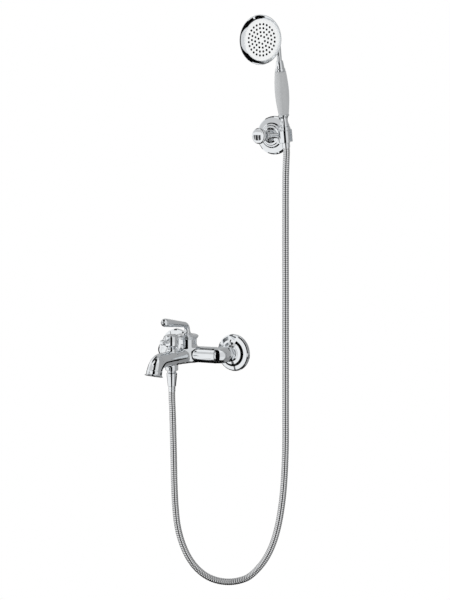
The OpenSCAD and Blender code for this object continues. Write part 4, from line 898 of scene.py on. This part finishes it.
def grip_plastic():
    """Injection-moulded ABS with a fine spark-eroded texture: even pale grey, softly glossy."""
    material, tree = new_material("moulded_grip_abs")
    place = add(tree, "ShaderNodeTexCoord")
    # The real grit is about 0.1 mm; it is drawn at 0.6 mm so that it still shows at this size.
    grit = add(tree, "ShaderNodeTexNoise", {"Scale": 1 / (0.6 * MM), "Detail": 2},
               {"Vector": place.outputs["Object"]})
    cloud = add(tree, "ShaderNodeTexNoise", {"Scale": 1 / (25 * MM), "Detail": 2},
                {"Vector": place.outputs["Object"]})
    rough = add(tree, "ShaderNodeMapRange", {"To Min": 0.36, "To Max": 0.5},
                {"Value": grit.outputs[0]})
    bump = add(tree, "ShaderNodeBump", {"Strength": 0.12, "Distance": 0.04 * MM},
               {"Height": grit.outputs[0]})
    surfaced(tree, "#c4c6c7", "#bdbfc1", cloud.outputs[0], {"IOR": ABS_IOR},
             {"Roughness": rough.outputs["Result"], "Normal": bump.outputs[0]})
    return material


swelling = [(10.3 + 1.1 * u + 3.6 * math.sin(math.pi * u), 31.1 + 88.5 * u)
            for u in np.linspace(0, 1, 41)]
grip = [(6.05, 31.1, 0.2), swelling[0] + (0.5,)] + swelling[1:-1]
grip += [(11.4, 119.6, 0.5), (6.05, 119.6, 0.2)]
fitted(turned("handset_grip_moulded", grip, TOP, lean_up, grip_plastic()),
       "handset", "grip", "handset_grip")
finished(turned_brass, "handset_tube")
ring = [(6.05, 119.6, 0.2), (9.9, 119.6, 0.2), (10.5, 120.6, 0.4), (10.5, 124.2, 0.5),
        (9.7, 125.6, 0.4), (6.05, 125.6, 0.2)]
chromed("handset_ring_turned", "handset", "handset_ring", ring, TOP, lean_up)
collar = [(6.05, 125.6, 0.2), (9, 125.6, 0.3), (8.8, 127.5, 3), (7.9, 134.5, 6), (7, 140.6, 0.6),
          (6.4, 141.6, 0.4), (5.05, 141.6, 0.2), (5.05, 130.6, 0.2), (6.05, 130.6, 0.2)]
chromed("handset_collar_turned", "handset", "handset_collar", collar, TOP, lean_up)
neck_r, neck_top, neck_bend = 5, 168.6, 16
neck = lathe_rings([(0, 131.6), (neck_r, 131.6, 0.2), (neck_r, neck_top), (neck_r, 168.7)],
                   TOP, lean_up, 0.3)[:-1]
bend_from = TOP + lean_up * neck_top
for a in np.linspace(0, math.radians(81), 25)[1:]:
    way = lean_up * math.cos(a) + lean_out * math.sin(a)
    centre = (bend_from + lean_out * neck_bend * (1 - math.cos(a))
              + lean_up * neck_bend * math.sin(a))
    neck.append((centre, way, neck_r, 1, 0))
HEAD = np.array(neck[-1][0])
neck += lathe_rings([(neck_r, 0.2), (neck_r, 3, 0.2), (0, 3)], HEAD, OUT, 0.3)
fitted(skin("handset_neck_bent", neck, turned_chrome, 64), "handset", "chrome", "handset_neck")

# The head: a spun brass shell, a rolled bezel and the moulded spray face with its rings of
# holes, sealed to the shell by a rubber gasket.
HEAD_DEPTH = 44


def flank(v):
    """Radius of the shell's flaring flank, v in front of the neck's end."""
    return 7.5 + 35.8 * (v / HEAD_DEPTH) ** 1.3


outside = [(flank(v), v) for v in np.linspace(0, HEAD_DEPTH, HEAD_DEPTH + 1)]
shell = [(0, 3.1), (5.05, 3.1, 0.2), (5.05, -2, 0.2), (6.5, -2, 0.5), (7.5, -1, 0.5)]
shell += outside[:-1] + [(43.3, HEAD_DEPTH, 0.3), (35.5, HEAD_DEPTH, 0.3), (35.5, 40, 0.3)]
shell += [(r - 2.9, v) for r, v in outside[40:5:-1]] + [(0, 6)]
head_shell = turned("head_shell_spun", shell, HEAD, OUT, turned_chrome, 0.4, 144)
# Painted shade: the inside of the shell and the walls of the spray holes get a dull, nearly black
# metal, the shade that bare brass gets where no light reaches.
painted_shade = plain_part("painted_shade_inside", "#15120c", "#0b0906", 5, 0.6, 1.0)
head_shell.data.materials.append(painted_shade)
# Faces inside the shell take the painted shade.
for face in head_shell.data.polygons:
    depth = HEAD[1] - face.center.y / MM
    off = math.hypot(face.center.x / MM - HEAD[0], face.center.z / MM - HEAD[2])
    if 4 < depth < 43.5 and off < flank(depth) - 1.5:
        face.material_index = 1
fitted(head_shell, "handset", "chrome", "head_shell")
bezel = [(41.55, 44, 0.2), (43.3, 44, 0.3)] + arc(48.7, 52.2, 0.8, 0.8, -30, 124, 10)
bezel += [(46.6, 51.75, 0.6), (42, 47.35, 0.3), (41.2, 47.1, 0.1), (41.2, 47, 0.1),
          (41.55, 47, 0.2)]
chromed("head_bezel_rolled", "handset", "head_bezel", bezel, HEAD, OUT, 0.4, 144)
finished(nitrile_rubber, "face_gasket")


def face_plastic():
    """Polished ABS, nearly white: a smooth moulded face with a faint mottle."""
    material, tree = new_material("moulded_face_abs")
    place = add(tree, "ShaderNodeTexCoord")
    cloud = add(tree, "ShaderNodeTexNoise", {"Scale": 1 / (18 * MM), "Detail": 3},
                {"Vector": place.outputs["Object"]})
    rough = add(tree, "ShaderNodeMapRange", {"To Min": 0.14, "To Max": 0.26},
                {"Value": cloud.outputs[0]})
    surfaced(tree, "#f6f7f7", "#edeff0", cloud.outputs[0], {"IOR": ABS_IOR},
             {"Roughness": rough.outputs["Result"]})
    return material


# Each ring of spray holes: how many, on what radius, and the first one's angle from the top.
HOLE_RINGS = ((6, 8, -12), (12, 15.6, -10), (18, 23.3, 10), (24, 31, 7.5))


def spray_face_tree():
    """A round plate pierced by rings of holes: circles on circles, filled flat and thickened."""
    tree, given = shape_tree("spray_face", [
        ("Face radius", "Float"), ("Thickness", "Float"), ("Hole radius", "Float"),
        ("Points round a hole", "Int"), ("Place", "Vector"), ("Plastic", "Material"),
        ("Bores", "Material")])
    rim = add(tree, "GeometryNodeCurvePrimitiveCircle", {"Resolution": 144},
              {"Radius": given["Face radius"]})
    hole = add(tree, "GeometryNodeCurvePrimitiveCircle",
               links={"Resolution": given["Points round a hole"], "Radius": given["Hole radius"]})
    lines = add(tree, "GeometryNodeJoinGeometry", links={0: rim.outputs[0]})
    for count, radius, first in HOLE_RINGS:
        circle = add(tree, "GeometryNodeCurvePrimitiveCircle",
                     {"Resolution": count, "Radius": radius * MM})
        turned_on = add(tree, "GeometryNodeTransform",
                        {"Rotation": (0, 0, math.radians(90 - first))},
                        {"Geometry": circle.outputs[0]})
        holes = add(tree, "GeometryNodeInstanceOnPoints",
                    links={"Points": turned_on.outputs[0], "Instance": hole.outputs[0]})
        tree.links.new(holes.outputs[0], lines.inputs[0])
    plain = add(tree, "GeometryNodeRealizeInstances", links={"Geometry": lines.outputs[0]})
    sheet = add(tree, "GeometryNodeFillCurve", links={"Curve": plain.outputs[0]})
    coat = add(tree, "GeometryNodeSetMaterial",
               links={"Geometry": sheet.outputs[0], "Material": given["Plastic"]})
    front = add(tree, "GeometryNodeExtrudeMesh", {"Individual": False},
                {"Mesh": coat.outputs[0], "Offset Scale": given["Thickness"]})
    # The walls of the holes take the second material, which is painted shade.
    bored = add(tree, "GeometryNodeSetMaterial", links={
        "Geometry": front.outputs["Mesh"], "Selection": front.outputs["Side"],
        "Material": given["Bores"]})
    back = add(tree, "GeometryNodeFlipFaces", links={"Mesh": coat.outputs[0]})
    plate = add(tree, "GeometryNodeJoinGeometry", links={0: bored.outputs[0]})
    tree.links.new(back.outputs[0], plate.inputs[0])
    closed = add(tree, "GeometryNodeMergeByDistance", {"Distance": 0.001 * MM},
                 {"Geometry": plate.outputs[0]})
    placed = add(tree, "GeometryNodeTransform", {"Rotation": (math.pi / 2, 0, 0)},
                 {"Geometry": closed.outputs[0], "Translation": given["Place"]})
    whole = add(tree, "GeometryNodeRealizeInstances", links={"Geometry": placed.outputs[0]})
    add(tree, "NodeGroupOutput", links={0: whole.outputs[0]})
    return tree


face_blank = new_object("spray_face_moulded", bpy.data.meshes.new("spray_face_moulded"))
spray_face = baked(face_blank, spray_face_tree(), {
    "Face radius": 41.5 * MM, "Thickness": 2 * MM, "Hole radius": 2.3 * MM,
    "Points round a hole": 20, "Place": tuple((HEAD + 45 * np.array(OUT)) * MM),
    "Plastic": face_plastic(), "Bores": painted_shade})
fitted(spray_face, "handset", "face", "spray_face")
